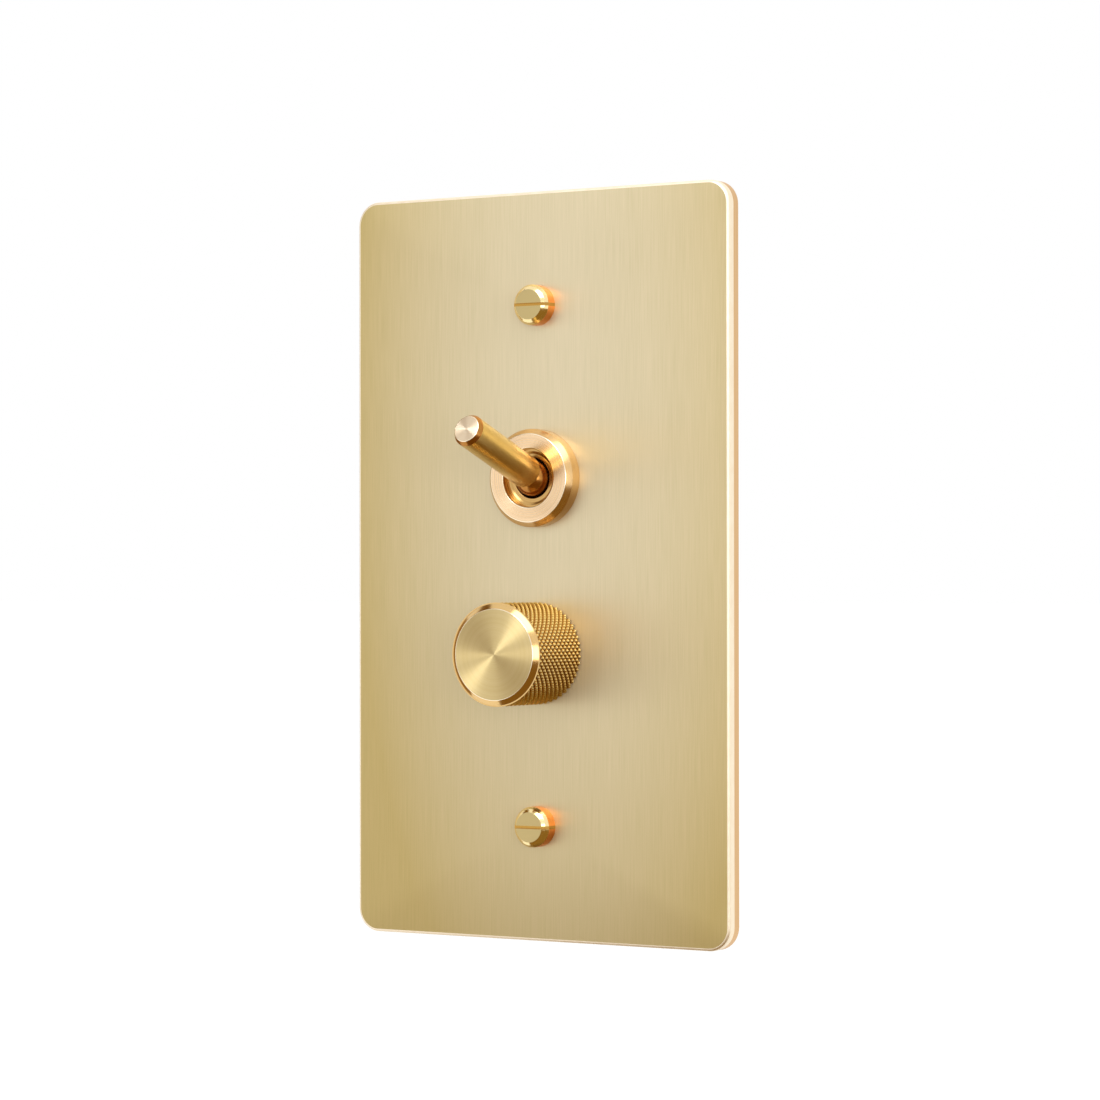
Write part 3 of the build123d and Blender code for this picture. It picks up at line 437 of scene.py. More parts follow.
def lathe_faces(piece):
    """Each face of a turned piece, with its corners' radii and heights on the lathe."""
    marks = piece.data.attributes["lathe"].data
    for face in piece.data.polygons:
        corners = [marks[index].vector for index in face.vertices]
        yield face, [corner.x for corner in corners], [corner.y for corner in corners]


level_slack = 0.001
hairline = 0.01
lever_tilt = math.radians(20.0)
pivot_height = 4.1
rod_radius = 2.6
rod_start = 2.3
rod_end_round = 0.55
tip_distance = 21.0
tip_face_radius = 2.12
tip_bevel_length = 0.75
tip_rim = 0.16
pin_hole_radius = 0.45
arm_radius = 1.1
arm_length = 12.0
arm_end_radius = 1.2
arm_neck_radius = 0.75
arm_neck_length = 1.4
ball_steps = 26
arm_end_steps = 8
ball_overlap = 0.05
lever_place = (
    Matrix.Translation((0, -pivot_height / per_mm, toggle_z / per_mm))
    @ Matrix.Rotation(-lever_tilt, 4, "X")
)
crease_angle = math.asin(rod_start / ball_radius)
arm_angle = -math.acos(arm_radius / ball_radius)
ball_angles = [
    crease_angle + (arm_angle - crease_angle) * step / ball_steps for step in range(ball_steps + 1)
]
neck_angle = math.acos(arm_neck_radius / arm_end_radius)
arm_neck_height = arm_end_radius * math.sin(neck_angle) - arm_length + arm_neck_length
arm_end_angles = [
    neck_angle + (-math.pi / 2 - neck_angle) * step / arm_end_steps
    for step in range(arm_end_steps + 1)
]
lever_outline = (
    outline_of([
        (0, tip_distance, 0),
        (tip_face_radius, tip_distance, 0.14),
        (rod_radius, tip_distance - tip_bevel_length, 0.35),
        (rod_radius, rod_start, rod_end_round),
        (ball_radius * math.cos(crease_angle) - ball_overlap, rod_start, 0),
    ])
    + [Vector((ball_radius * math.cos(a), ball_radius * math.sin(a))) for a in ball_angles]
    + [Vector((arm_neck_radius, arm_neck_height))]
    + [
        Vector((arm_end_radius * math.cos(a), arm_end_radius * math.sin(a) - arm_length))
        for a in arm_end_angles
    ]
)
lever_outline[-1].x = 0.0
lever = turned("toggle_lever_turned", lever_outline, lever_place)
pin_hole = bmesh.new()
bmesh.ops.create_cone(
    pin_hole, cap_ends=True, segments=24, radius1=pin_hole_radius / per_mm,
    radius2=pin_hole_radius / per_mm, depth=3 * ball_radius / per_mm,
    matrix=lever_place @ Matrix.Rotation(math.pi / 2, 4, "Y"),
)
cut_away(lever, pin_hole, turned_sharp_degrees)
lever_finishes = [
    turned_brass("polished_lever_brass", "e6c67e", "dcba6e", 0.26, 0.7, ring_mm=1.2, uneven=0.0),
    turned_brass("spun_tip_brass", "fff0d8", "f8dcb4", 0.34, 0.93),
    # Painted shade: the ball, the arm and the tip's bevel are painted a dark brown.
    turned_brass("burnished_ball_brass", "bc8240", "b07838", 0.24, 0.3, ring_mm=0.6, uneven=0.0),
    # Painted highlight: the thin rim round the tip is near white, so that it reads as a bright
    # line.
    turned_brass("bright_tip_rim_brass", "fff4dc", "fdeccb", 0.12, 0.2),
]
for finish in lever_finishes:
    lever.data.materials.append(finish)
bevel_end = tip_distance - tip_bevel_length - 0.1
for face, _, heights in lathe_faces(lever):
    if min(heights) > tip_distance - level_slack:
        face.material_index = 1
    elif min(heights) > tip_distance - tip_rim:
        face.material_index = 3
    # The tip's bevel, the ball and the arm take the dark brown of painted shade.
    elif min(heights) > bevel_end or max(heights) < rod_start + hairline:
        face.material_index = 2
fit(lever, lever_finishes[0], "toggle", "polished_brass_lever", "toggle_lever")

# Backing frame: rolled brass frame of the plate's own outline, which stands it off the wall. Its
# sawn and linished edge is the darker tan band behind the plate's bright one.

# Linished brass: a satin edge, with fine lines that run along it.
edge_line_mm = 0.12
edge_line_length_mm = 20.0
finish, tree, shader = start_finish("linished_frame_brass", Metallic=1.0)
place = add(tree, "ShaderNodeTexCoord").outputs["Object"]
drawn = add(
    tree, "ShaderNodeMapping",
    {"Vector": place, "Scale": (
        per_mm / edge_line_length_mm, per_mm / edge_line_mm, per_mm / edge_line_length_mm,
    )},
)
lines = add(tree, "ShaderNodeTexNoise", {"Vector": drawn.outputs["Vector"], "Scale": 1.0})
tint = add(
    tree, "ShaderNodeMix",
    {0: lines.outputs["Fac"], 6: linear("d6a870"), 7: linear("e8c698")}, data_type="RGBA",
)
shine = add(
    tree, "ShaderNodeMapRange", {"Value": lines.outputs["Fac"], 3: 0.36, 4: 0.5}
)
tree.links.new(tint.outputs[2], shader.inputs["Base Color"])
tree.links.new(shine.outputs["Result"], shader.inputs["Roughness"])
dress(finish, "backing_frame")

# Faceplate: 1.5 mm brass sheet, brushed from top to bottom on a belt, with a polished edge. Its
# colour is painted darker and yellower towards the rim, most at the left and foot: painted shade.

plate_low, plate_high = span("faceplate")
plate_front = -plate_low.y
plate_back = -plate_high.y
plate_width = plate_high.x - plate_low.x
plate_height = plate_high.z - plate_low.z
plate_corner = 3.8
edge_rounding = 0.45
corner_steps = 12
edge_steps = 6
knob_z = -14.0
screw_z = 41.67
toggle_hole_radius = 6.1
shaft_hole_radius = 4.1
screw_hole_radius = 1.85
holes = [
    (toggle_z, toggle_hole_radius), (knob_z, shaft_hole_radius),
    (screw_z, screw_hole_radius), (-screw_z, screw_hole_radius),
]
sheet_sharp_degrees = 30
hole_segments = 64


def plate_ring(shape, inset, height):
    """The plate's outline, drawn in by an inset at a height."""
    ring = []
    radius = plate_corner - inset
    for quarter, (side, end) in enumerate([(1, 1), (-1, 1), (-1, -1), (1, -1)]):
        centre_x = side * (plate_width / 2 - plate_corner)
        centre_z = end * (plate_height / 2 - plate_corner)
        for step in range(corner_steps + 1):
            angle = math.pi / 2 * (quarter + step / corner_steps)
            ring.append(shape.verts.new((
                (centre_x + radius * math.cos(angle)) / per_mm,
                -height / per_mm,
                (centre_z + radius * math.sin(angle)) / per_mm,
            )))
    return ring


def hole_ring(shape, height_on_plate, radius, height):
    """A round hole's edge at a height."""
    angles = [math.tau * step / hole_segments for step in range(hole_segments)]
    return [
        shape.verts.new((
            radius * math.cos(a) / per_mm,
            -height / per_mm,
            (height_on_plate + radius * math.sin(a)) / per_mm,
        ))
        for a in angles
    ]


def wall_between(shape, near, far):
    """A band of faces between two rings."""
    faces = []
    for index in range(len(near)):
        following = (index + 1) % len(near)
        faces.append(shape.faces.new([near[index], near[following], far[following], far[index]]))
    return faces


def sheet_face(shape, rings):
    """The flat face inside a ring and round its holes."""
    edges = []
    for ring in rings:
        pairs = zip(ring, ring[1:] + ring[:1])
        edges += [shape.edges.get(pair) or shape.edges.new(pair) for pair in pairs]
    made = bmesh.ops.triangle_fill(shape, edges=edges, use_beauty=True)
    return [item for item in made["geom"] if isinstance(item, bmesh.types.BMFace)]


shape = bmesh.new()
rings = [plate_ring(shape, 0, plate_back)]
for step in range(edge_steps + 1):
    turn = math.pi / 2 * step / edge_steps
    rings.append(plate_ring(
        shape,
        edge_rounding * (1 - math.cos(turn)),
        plate_front - edge_rounding * (1 - math.sin(turn)),
    ))
for near, far in zip(rings, rings[1:]):
    wall_between(shape, near, far)
front_holes = [hole_ring(shape, z, radius, plate_front) for z, radius in holes]
back_holes = [hole_ring(shape, z, radius, plate_back) for z, radius in holes]
for front, back in zip(front_holes, back_holes):
    wall_between(shape, front, back)
for face in shape.faces:
    face.material_index = 1
sheet_face(shape, [rings[-1]] + front_holes)
sheet_face(shape, [rings[0]] + back_holes)
bmesh.ops.recalc_face_normals(shape, faces=shape.faces)
mesh = mesh_of("faceplate_sheet", shape, sheet_sharp_degrees)
faceplate = new_object("faceplate_sheet", mesh)

# Brushed and lacquered brass: a satin sheen across the scratches, which run up the plate. The
# belt's real scratches are under 0.1 mm wide and are drawn coarser, so that they show.
scratch_mm = 0.2
scratch_length_mm = 9.0
band_mm = 2.4
band_length_mm = 80.0
band_share = 0.18
shade_reach_x = 35.0
shade_reach_z = 90.0
brightest_offset_x = 4.55
brightest_offset_z = 25.02
finish, tree, shader = start_finish(
    "brushed_lacquered_brass", Metallic=1.0, Anisotropic=0.75,
    Coat_Weight=0.12, Coat_Roughness=0.35,
)
place = add(tree, "ShaderNodeTexCoord").outputs["Object"]
fine = add(
    tree, "ShaderNodeMapping",
    {"Vector": place, "Scale": (per_mm / scratch_mm, 1, per_mm / scratch_length_mm)},
)
broad = add(
    tree, "ShaderNodeMapping",
    {"Vector": place, "Scale": (per_mm / band_mm, 1, per_mm / band_length_mm)},
)
scratches = add(
    tree, "ShaderNodeTexNoise", {"Vector": fine.outputs["Vector"], "Scale": 1.0, "Detail": 3.0}
)
bands = add(tree, "ShaderNodeTexNoise", {"Vector": broad.outputs["Vector"], "Scale": 1.0})
streaks = add(
    tree, "ShaderNodeMix",
    {0: band_share, 2: scratches.outputs["Fac"], 3: bands.outputs["Fac"]},
)
contrast = add(tree, "ShaderNodeMapRange", {"Value": streaks.outputs[0], 1: 0.3, 2: 0.7})
# Painted shade: darker and yellower with distance from a point right of and above the middle.
brightest_offset = add(
    tree, "ShaderNodeMapping",
    {"Vector": place,
     "Location": (-brightest_offset_x / shade_reach_x, 0, -brightest_offset_z / shade_reach_z),
     "Scale": (per_mm / shade_reach_x, 0, per_mm / shade_reach_z)},
)
shade_spread = add(
    tree, "ShaderNodeVectorMath",
    {0: brightest_offset.outputs["Vector"], 1: brightest_offset.outputs["Vector"]}, operation="DOT_PRODUCT",
)
shade_amount = add(tree, "ShaderNodeMapRange", {"Value": shade_spread.outputs["Value"], 1: 0.0, 2: 1.4})
bright_line = add(
    tree, "ShaderNodeMix",
    {0: shade_amount.outputs["Result"], 6: linear("dfd0b0"), 7: linear("cbb47b")}, data_type="RGBA",
)
dull_line = add(
    tree, "ShaderNodeMix",
    {0: shade_amount.outputs["Result"], 6: linear("d4c6a2"), 7: linear("c0aa6e")}, data_type="RGBA",
)
tint = add(
    tree, "ShaderNodeMix",
    {0: contrast.outputs["Result"], 6: dull_line.outputs[2], 7: bright_line.outputs[2]},
    data_type="RGBA",
)
shine = add(tree, "ShaderNodeMapRange", {"Value": contrast.outputs["Result"], 3: 0.42, 4: 0.52})
across = add(tree, "ShaderNodeCombineXYZ", {"X": 1.0})
tree.links.new(tint.outputs[2], shader.inputs["Base Color"])
tree.links.new(shine.outputs["Result"], shader.inputs["Roughness"])
tree.links.new(across.outputs["Vector"], shader.inputs["Tangent"])
mesh.materials.append(finish)

# Buffed brass edge: hazy, since the buffing wheel has rounded its lines away. Its pale cream
# colour is a painted highlight over the polished edge.
edge_haze_mm = 1.5
finish, tree, shader = start_finish("polished_edge_brass", Metallic=1.0)
place = add(tree, "ShaderNodeTexCoord").outputs["Object"]
haze = add(
    tree, "ShaderNodeTexNoise", {"Vector": place, "Scale": per_mm / edge_haze_mm, "Detail": 2.0}
)
# Painted highlight: the near-white cream makes the edge read as a bright line all round.
tint = add(
    tree, "ShaderNodeMix",
    {0: haze.outputs["Fac"], 6: linear("f9e6c8"), 7: linear("fff4de")}, data_type="RGBA",
)
shine = add(tree, "ShaderNodeMapRange", {"Value": haze.outputs["Fac"], 3: 0.46, 4: 0.56})
tree.links.new(tint.outputs[2], shader.inputs["Base Color"])
tree.links.new(shine.outputs["Result"], shader.inputs["Roughness"])
mesh.materials.append(finish)
fit(faceplate, finish, "plate", "brushed_brass_plate", "faceplate")

# Toggle bezel: polished ring nut that clamps the switch to the faceplate, with a turned face, a
# bevelled shoulder and a lip over the end of the bushing.

bezel_low, bezel_high = span("toggle_bezel")
bezel_front = -bezel_low.y
bezel_radius = (bezel_high.x - bezel_low.x) / 2
bezel_face_radius = 7.05
bezel_bevel = 0.95
bezel_rim = 0.17
lip_radius = 4.7
lip_thickness = 1.1
thread_bore_radius = 6.05
bezel = turned(
    "toggle_bezel_turned",
    outline_of([
        (lip_radius, bezel_front, 0.16),
        (bezel_face_radius, bezel_front, 0.16),
        (bezel_radius, bezel_front - bezel_bevel, 0.2),
        (bezel_radius, plate_front, 0.06),
        (thread_bore_radius, plate_front, 0),
        (thread_bore_radius, bezel_front - lip_thickness, 0),
        (lip_radius, bezel_front - lip_thickness, 0),
    ]),
    on_wall(toggle_z), segments=128, closed=True,
)
bezel_finishes = [
    turned_brass("polished_bezel_brass", "e6c08a", "dab074", 0.24, 0.4),
    turned_brass("turned_bezel_face_brass", "fcdeb8", "f0ca9a", 0.27, 0.9),
    # Painted highlight: the thin rim round the face is near white, so that it reads as a bright
    # line.
    turned_brass("bright_bezel_rim_brass", "fff4dc", "fdeccb", 0.12, 0.2),
]
for finish in bezel_finishes:
    bezel.data.materials.append(finish)
for face, _, heights in lathe_faces(bezel):
    if min(heights) > bezel_front - level_slack:
        face.material_index = 1
    elif min(heights) > bezel_front - bezel_rim:
        face.material_index = 2
fit(bezel, bezel_finishes[0], "plate", "polished_brass_bezel", "toggle_bezel")

# Dimmer knob: turned brass cap with a spun face, a rim painted near white as a highlight and a
# polished bevel. Its side is diamond knurled by a pair of crossed wheels, forty-eight diamonds
# round, from the bevel to the base.

knob_low, knob_high = span("dimmer_knob")
knob_front = -knob_low.y
knob_base = -knob_high.y
knob_radius = (knob_high.x - knob_low.x) / 2
knob_face_radius = 7.2
knob_bevel_radius = 8.0
knob_rim = 0.12
bevel_foot = knob_front - 0.65
recess_radius = 6.6
recess_ceiling = 7.7
shaft_bore_radius = 3.05
shaft_bore_ceiling = knob_front - 1.5
knurl_count = 48
knurl_rows = 10
cells_per_tooth = 8
knurl_depth = 0.36
band_low = knob_base + 0.1
band_high = bevel_foot
tooth_pitch = (band_high - band_low) / knurl_rows
band_rows = knurl_rows * cells_per_tooth
band = [
    Vector((knob_radius, band_high + (band_low - band_high) * row / band_rows))
    for row in range(band_rows + 1)
]
knob_outline = (
    outline_of([
        (0, knob_front, 0),
        (knob_face_radius, knob_front, 0.14),
        (knob_bevel_radius, bevel_foot, 0),
    ])
    + band
    + [Vector((knob_radius - knurl_depth, knob_base))]
    + [Vector(point) for point in [
        (recess_radius, knob_base), (recess_radius, recess_ceiling),
        (shaft_bore_radius, recess_ceiling), (shaft_bore_radius, shaft_bore_ceiling),
        (0, shaft_bore_ceiling),
    ]]
)
knob = turned(
    "dimmer_knob_turned", knob_outline, on_wall(knob_z), segments=knurl_count * cells_per_tooth
)
spun_face = turned_brass("spun_knob_face_brass", "e0c994", "d6bc80", 0.42, 0.95)
polished_bevel = turned_brass("polished_knob_brass", "ecc88a", "d9b070", 0.15, 0.3)
# Painted highlight: the thin rim round the face is near white, so that it reads as a bright line.
highlight_rim = turned_brass("bright_knob_rim_brass", "fff4dc", "fdeccb", 0.12, 0.2)

# Knurled brass: a painted highlight on the diamonds' tips and painted shade down in the grooves.
knurl_grain_mm = 0.3
knurled, tree, shader = start_finish(
    "knurled_brass", Metallic=1.0, Specular_Tint=linear("ffd890"),
)
tooth_height = add(tree, "ShaderNodeAttribute", attribute_name="tooth_height").outputs["Fac"]
crest = add(tree, "ShaderNodeMath", {0: tooth_height, 1: 1.2}, operation="POWER")
place = add(tree, "ShaderNodeTexCoord").outputs["Object"]
grain = add(tree, "ShaderNodeTexNoise", {"Vector": place, "Scale": per_mm / knurl_grain_mm})
# Painted highlight and shade: pale cream at the tooth tips, dark brown at the groove bottoms.
tint = add(
    tree, "ShaderNodeMix",
    {0: crest.outputs[0], 6: linear("8a4e06"), 7: linear("ffe8a0")}, data_type="RGBA",
)
shine = add(tree, "ShaderNodeMapRange", {"Value": grain.outputs["Fac"], 3: 0.14, 4: 0.3})
tree.links.new(tint.outputs[2], shader.inputs["Base Color"])
tree.links.new(shine.outputs["Result"], shader.inputs["Roughness"])

for finish in (polished_bevel, spun_face, knurled, highlight_rim):
    knob.data.materials.append(finish)
for face, radii, heights in lathe_faces(knob):
    if min(heights) > knob_front - level_slack:
        face.material_index = 1
    elif min(heights) > knob_front - knob_rim:
        face.material_index = 3
    elif min(radii) > knob_radius - hairline:
        face.material_index = 2

knurl = bpy.data.node_groups.new("diamond_knurl", "GeometryNodeTree")
for name, kind in [
    ("Blank", "NodeSocketGeometry"), ("Teeth", "NodeSocketFloat"), ("Pitch", "NodeSocketFloat"),
    ("Depth", "NodeSocketFloat"), ("Axis Z", "NodeSocketFloat"), ("Band Low", "NodeSocketFloat"),
    ("Band High", "NodeSocketFloat"), ("Radius", "NodeSocketFloat"),
    ("Finish", "NodeSocketMaterial"),
]:
    knurl.interface.new_socket(name, in_out="INPUT", socket_type=kind)
knurl.interface.new_socket("Knurled", in_out="OUTPUT", socket_type="NodeSocketGeometry")


def maths(operation, *values):
    """One step of the knurl's formula."""
    return add(knurl, "ShaderNodeMath", dict(enumerate(values)), operation=operation).outputs[0]


sizes = add(knurl, "NodeGroupInput").outputs
position = add(knurl, "GeometryNodeInputPosition").outputs[0]
axes = add(knurl, "ShaderNodeSeparateXYZ", {0: position}).outputs
rise = maths("SUBTRACT", axes["Z"], sizes["Axis Z"])
angle = maths("ARCTAN2", rise, axes["X"])
around = maths("MULTIPLY", maths("DIVIDE", angle, math.tau), sizes["Teeth"])
height = maths("MULTIPLY", axes["Y"], -1.0)
along = maths("DIVIDE", maths("SUBTRACT", sizes["Band High"], height), sizes["Pitch"])
reach = maths("SQRT", maths("ADD", maths("POWER", axes["X"], 2.0), maths("POWER", rise, 2.0)))
ramps = [
    maths("PINGPONG", maths("ADD", around, along), 0.5),
    maths("PINGPONG", maths("SUBTRACT", around, along), 0.5),
]
tooth = maths("MINIMUM", maths("MULTIPLY", maths("MINIMUM", *ramps), 2.4), 1.0)
in_band = maths(
    "MULTIPLY",
    maths("MULTIPLY", maths("LESS_THAN", height, sizes["Band High"]),
          maths("GREATER_THAN", height, sizes["Band Low"])),
    maths("GREATER_THAN", reach, maths("SUBTRACT", sizes["Radius"], 0.01 / per_mm)),
)
cut = maths(
    "MULTIPLY", in_band, maths("MULTIPLY", sizes["Depth"], maths("SUBTRACT", 1.0, tooth))
)
share = maths("SUBTRACT", 1.0, maths("DIVIDE", cut, maths("MAXIMUM", reach, 0.1 / per_mm)))
pressed = add(knurl, "ShaderNodeCombineXYZ", {
    "X": maths("MULTIPLY", axes["X"], share),
    "Y": axes["Y"],
    "Z": maths("ADD", sizes["Axis Z"], maths("MULTIPLY", rise, share)),
})
marked = add(
    knurl, "GeometryNodeStoreNamedAttribute",
    {"Geometry": sizes["Blank"], "Name": "tooth_height",
     "Value": maths("SUBTRACT", 1.0, maths("MULTIPLY", in_band, maths("SUBTRACT", 1.0, tooth)))},
    data_type="FLOAT", domain="POINT",
)
moved = add(
    knurl, "GeometryNodeSetPosition",
    {"Geometry": marked.outputs["Geometry"], "Position": pressed.outputs["Vector"]},
)
whole = add(knurl, "GeometryNodeRealizeInstances", {"Geometry": moved.outputs["Geometry"]})
index = add(knurl, "GeometryNodeInputMaterialIndex").outputs[0]
is_band = add(
    knurl, "FunctionNodeCompare", {2: index, 3: 2}, data_type="INT", operation="EQUAL"
)
finished = add(
    knurl, "GeometryNodeSetMaterial",
    {"Geometry": whole.outputs["Geometry"], "Selection": is_band.outputs[0],
     "Material": sizes["Finish"]},
)
add(knurl, "NodeGroupOutput", {0: finished.outputs["Geometry"]})


def grown(piece, tree, **values):
    """Run a node tree on a piece and keep the plain mesh that it makes."""
    modifier = piece.modifiers.new("grown", "NODES")
    modifier.node_group = tree
    for item in tree.interface.items_tree:
        key = item.name.replace(" ", "_")
        if item.in_out == "INPUT" and key in values:
            modifier[item.identifier] = values[key]
    bpy.context.view_layer.update()
    shaped = piece.evaluated_get(bpy.context.evaluated_depsgraph_get())
    made = bpy.data.meshes.new_from_object(shaped)
    piece.modifiers.clear()
    piece.data = made


grown(
    knob, knurl, Teeth=float(knurl_count), Pitch=tooth_pitch / per_mm, Depth=knurl_depth / per_mm,
    Axis_Z=knob_z / per_mm, Band_Low=band_low / per_mm, Band_High=band_high / per_mm,
    Radius=knob_radius / per_mm, Finish=knurled,
)
fit(knob, knurled, "knob", "knurled_brass_knob", "dimmer_knob")

# Plate screws: two turned brass screws with a satin face, a wide polished bevel and a level
# driver slot. A thin neck passes the plate, and the thread stands out behind the strap.

screw_low, screw_high = span("plate_screw_upper")
screw_front = -screw_low.y
screw_tip = -screw_high.y
head_radius = (screw_high.x - screw_low.x) / 2
neck_radius = 1.5
thread_radius = 1.75
thread_pitch = 0.8
thread_depth = 0.3
thread_start = 0.05
slot_width = 0.5
slot_depth = 0.9
point_length = 0.5
screw_segments = 48
thread_rows_per_turn = 6
bevel_height = 0.95
face_radius = 2.4
knee_radius = face_radius + 0.5
knee_height = screw_front - 0.4
thread_length = thread_start - screw_tip - point_length
thread_rows = round(thread_length / thread_pitch * thread_rows_per_turn)
thread = [
    Vector((thread_radius, thread_start - thread_pitch * row / thread_rows_per_turn))
    for row in range(thread_rows + 1)
]
screw = turned(
    "plate_screw_blank",
    outline_of([
        (0, screw_front, 0),
        (face_radius, screw_front, 0.1),
        (knee_radius, knee_height, 0.5),
        (head_radius, screw_front - bevel_height, 0.15),
        (head_radius, plate_front, 0),
    ])
    + [Vector((neck_radius, plate_front)), Vector((neck_radius, thread_start))]
    + thread
    + [Vector((thread_radius - point_length, screw_tip)), Vector((0, screw_tip))],
    on_wall(0), segments=screw_segments,
)
for point in screw.data.vertices:
    height = -point.co.y * per_mm
    radius = Vector((point.co.x, point.co.z)).length * per_mm
    if height < thread_start + hairline and radius > thread_radius - hairline:
        turn = math.atan2(point.co.z, point.co.x) / math.tau
        crest = abs(2 * ((height / thread_pitch - turn) % 1.0) - 1)
        share = 1 - thread_depth * crest / radius
        point.co.x *= share
        point.co.z *= share

slot = bmesh.new()
bmesh.ops.create_cube(
    slot, size=1.0,
    matrix=Matrix.Translation((0, -screw_front / per_mm, 0))
    @ Matrix.Diagonal((3 * head_radius / per_mm, 2 * slot_depth / per_mm, slot_width / per_mm, 1)),
)
cut_away(screw, slot, sheet_sharp_degrees)

# Screw brass: a satin face, a mirror-bright bevel, a flank painted orange as a reflection of the
# brass plate, and a slot painted darker as shade. Each is told from the rest by its depth, or by
# its distance from the screw's middle.
screw_haze_mm = 0.5
screw_finish, tree, shader = start_finish("polished_screw_brass", Metallic=1.0)
place = add(tree, "ShaderNodeTexCoord").outputs["Object"]
axes = add(tree, "ShaderNodeSeparateXYZ", {0: place})
haze = add(
    tree, "ShaderNodeTexNoise", {"Vector": place, "Scale": per_mm / screw_haze_mm, "Detail": 2.0}
)
face_share = add(
    tree, "ShaderNodeMath", {0: axes.outputs["Y"], 1: -(screw_front - hairline) / per_mm},
    operation="LESS_THAN",
)
flank_share = add(
    tree, "ShaderNodeMath",
    {0: axes.outputs["Y"], 1: -(screw_front - bevel_height - 2 * hairline) / per_mm},
    operation="GREATER_THAN",
)
bevel_tint = add(
    tree, "ShaderNodeMix",
    {0: face_share.outputs[0], 6: linear("fbe3a8"), 7: linear("c6b07a")}, data_type="RGBA",
)
distance = add(tree, "ShaderNodeMath", {0: axes.outputs["Z"]}, operation="ABSOLUTE")
near_slot = add(
    tree, "ShaderNodeMath",
    {0: distance.outputs[0], 1: screw_z / per_mm, 2: (slot_width / 2 + hairline) / per_mm},
    operation="COMPARE",
)
below_face = add(
    tree, "ShaderNodeMath", {0: axes.outputs["Y"], 1: -(screw_front - 2 * hairline) / per_mm},
    operation="GREATER_THAN",
)
in_head = add(
    tree, "ShaderNodeMath", {0: axes.outputs["Y"], 1: -(plate_front + 2 * hairline) / per_mm},
    operation="LESS_THAN",
)
below_front = add(
    tree, "ShaderNodeMath", {0: below_face.outputs[0], 1: in_head.outputs[0]},
    operation="MULTIPLY",
)
slot_shade_share = add(
    tree, "ShaderNodeMath", {0: below_front.outputs[0], 1: near_slot.outputs[0]},
    operation="MULTIPLY",
)
# Painted reflection: the flank is painted orange for the plate's brass that it mirrors.
head_tint = add(
    tree, "ShaderNodeMix",
    {0: flank_share.outputs[0], 6: bevel_tint.outputs[2], 7: linear("ffa858")}, data_type="RGBA",
)
# Painted shade: the slot's walls and floor are painted a darker brass.
slot_shaded_tint = add(
    tree, "ShaderNodeMix",
    {0: slot_shade_share.outputs[0], 6: head_tint.outputs[2], 7: linear("c4974a")}, data_type="RGBA",
)
tint = add(
    tree, "ShaderNodeMix",
    {0: in_head.outputs[0], 6: linear("dcb874"), 7: slot_shaded_tint.outputs[2]}, data_type="RGBA",
)
dull_share = add(
    tree, "ShaderNodeMath", {0: face_share.outputs[0], 1: flank_share.outputs[0]},
    operation="MAXIMUM",
)
satin = add(tree, "ShaderNodeMapRange", {"Value": dull_share.outputs[0], 3: 0.12, 4: 0.3})
shine = add(
    tree, "ShaderNodeMath", {0: haze.outputs["Fac"], 1: 0.08, 2: satin.outputs["Result"]},
    operation="MULTIPLY_ADD",
)
tree.links.new(tint.outputs[2], shader.inputs["Base Color"])
tree.links.new(shine.outputs[0], shader.inputs["Roughness"])

pair = bpy.data.node_groups.new("screw_pair", "GeometryNodeTree")
for name, kind in [
    ("Screw", "NodeSocketGeometry"), ("Count", "NodeSocketInt"), ("Spacing", "NodeSocketFloat"),
    ("Finish", "NodeSocketMaterial"),
]:
    pair.interface.new_socket(name, in_out="INPUT", socket_type=kind)
pair.interface.new_socket("Screws", in_out="OUTPUT", socket_type="NodeSocketGeometry")
sizes = add(pair, "NodeGroupInput").outputs
step = add(pair, "ShaderNodeCombineXYZ", {"Z": sizes["Spacing"]}).outputs[0]
lowest = add(
    pair, "ShaderNodeVectorMath", {0: step, "Scale": -0.5}, operation="SCALE"
).outputs[0]
places = add(
    pair, "GeometryNodeMeshLine",
    {"Count": sizes["Count"], "Start Location": lowest, "Offset": step},
)
copies = add(
    pair, "GeometryNodeInstanceOnPoints",
    {"Points": places.outputs["Mesh"], "Instance": sizes["Screw"]},
)
whole = add(pair, "GeometryNodeRealizeInstances", {"Geometry": copies.outputs["Instances"]})
finished = add(
    pair, "GeometryNodeSetMaterial",
    {"Geometry": whole.outputs["Geometry"], "Material": sizes["Finish"]},
)
add(pair, "NodeGroupOutput", {0: finished.outputs["Geometry"]})
grown(screw, pair, Count=2, Spacing=2 * screw_z / per_mm, Finish=screw_finish)
screw.name = "plate_screws_slotted"
fit(screw, screw_finish, "plate", "polished_brass_screws", "plate_screw_upper", "plate_screw_lower")

# Studio: a pale floor far below the plate, a white surround, one large soft box above and to
# the right, a small one above, a low one at the right, and brown cards that only reflections
# see.


def seen_directly(tree):
    """1 for what the camera sees, straight, in a reflection or through glass, and 0 otherwise."""
    rays = add(tree, "ShaderNodeLightPath").outputs
    seen = add(
        tree, "ShaderNodeMath", {0: rays["Is Camera Ray"], 1: rays["Is Glossy Ray"]},
        operation="MAXIMUM",
    )
    seen_through = add(
        tree, "ShaderNodeMath", {0: seen.outputs[0], 1: rays["Is Transmission Ray"]},
        operation="MAXIMUM",
    )
    return seen_through.outputs[0]


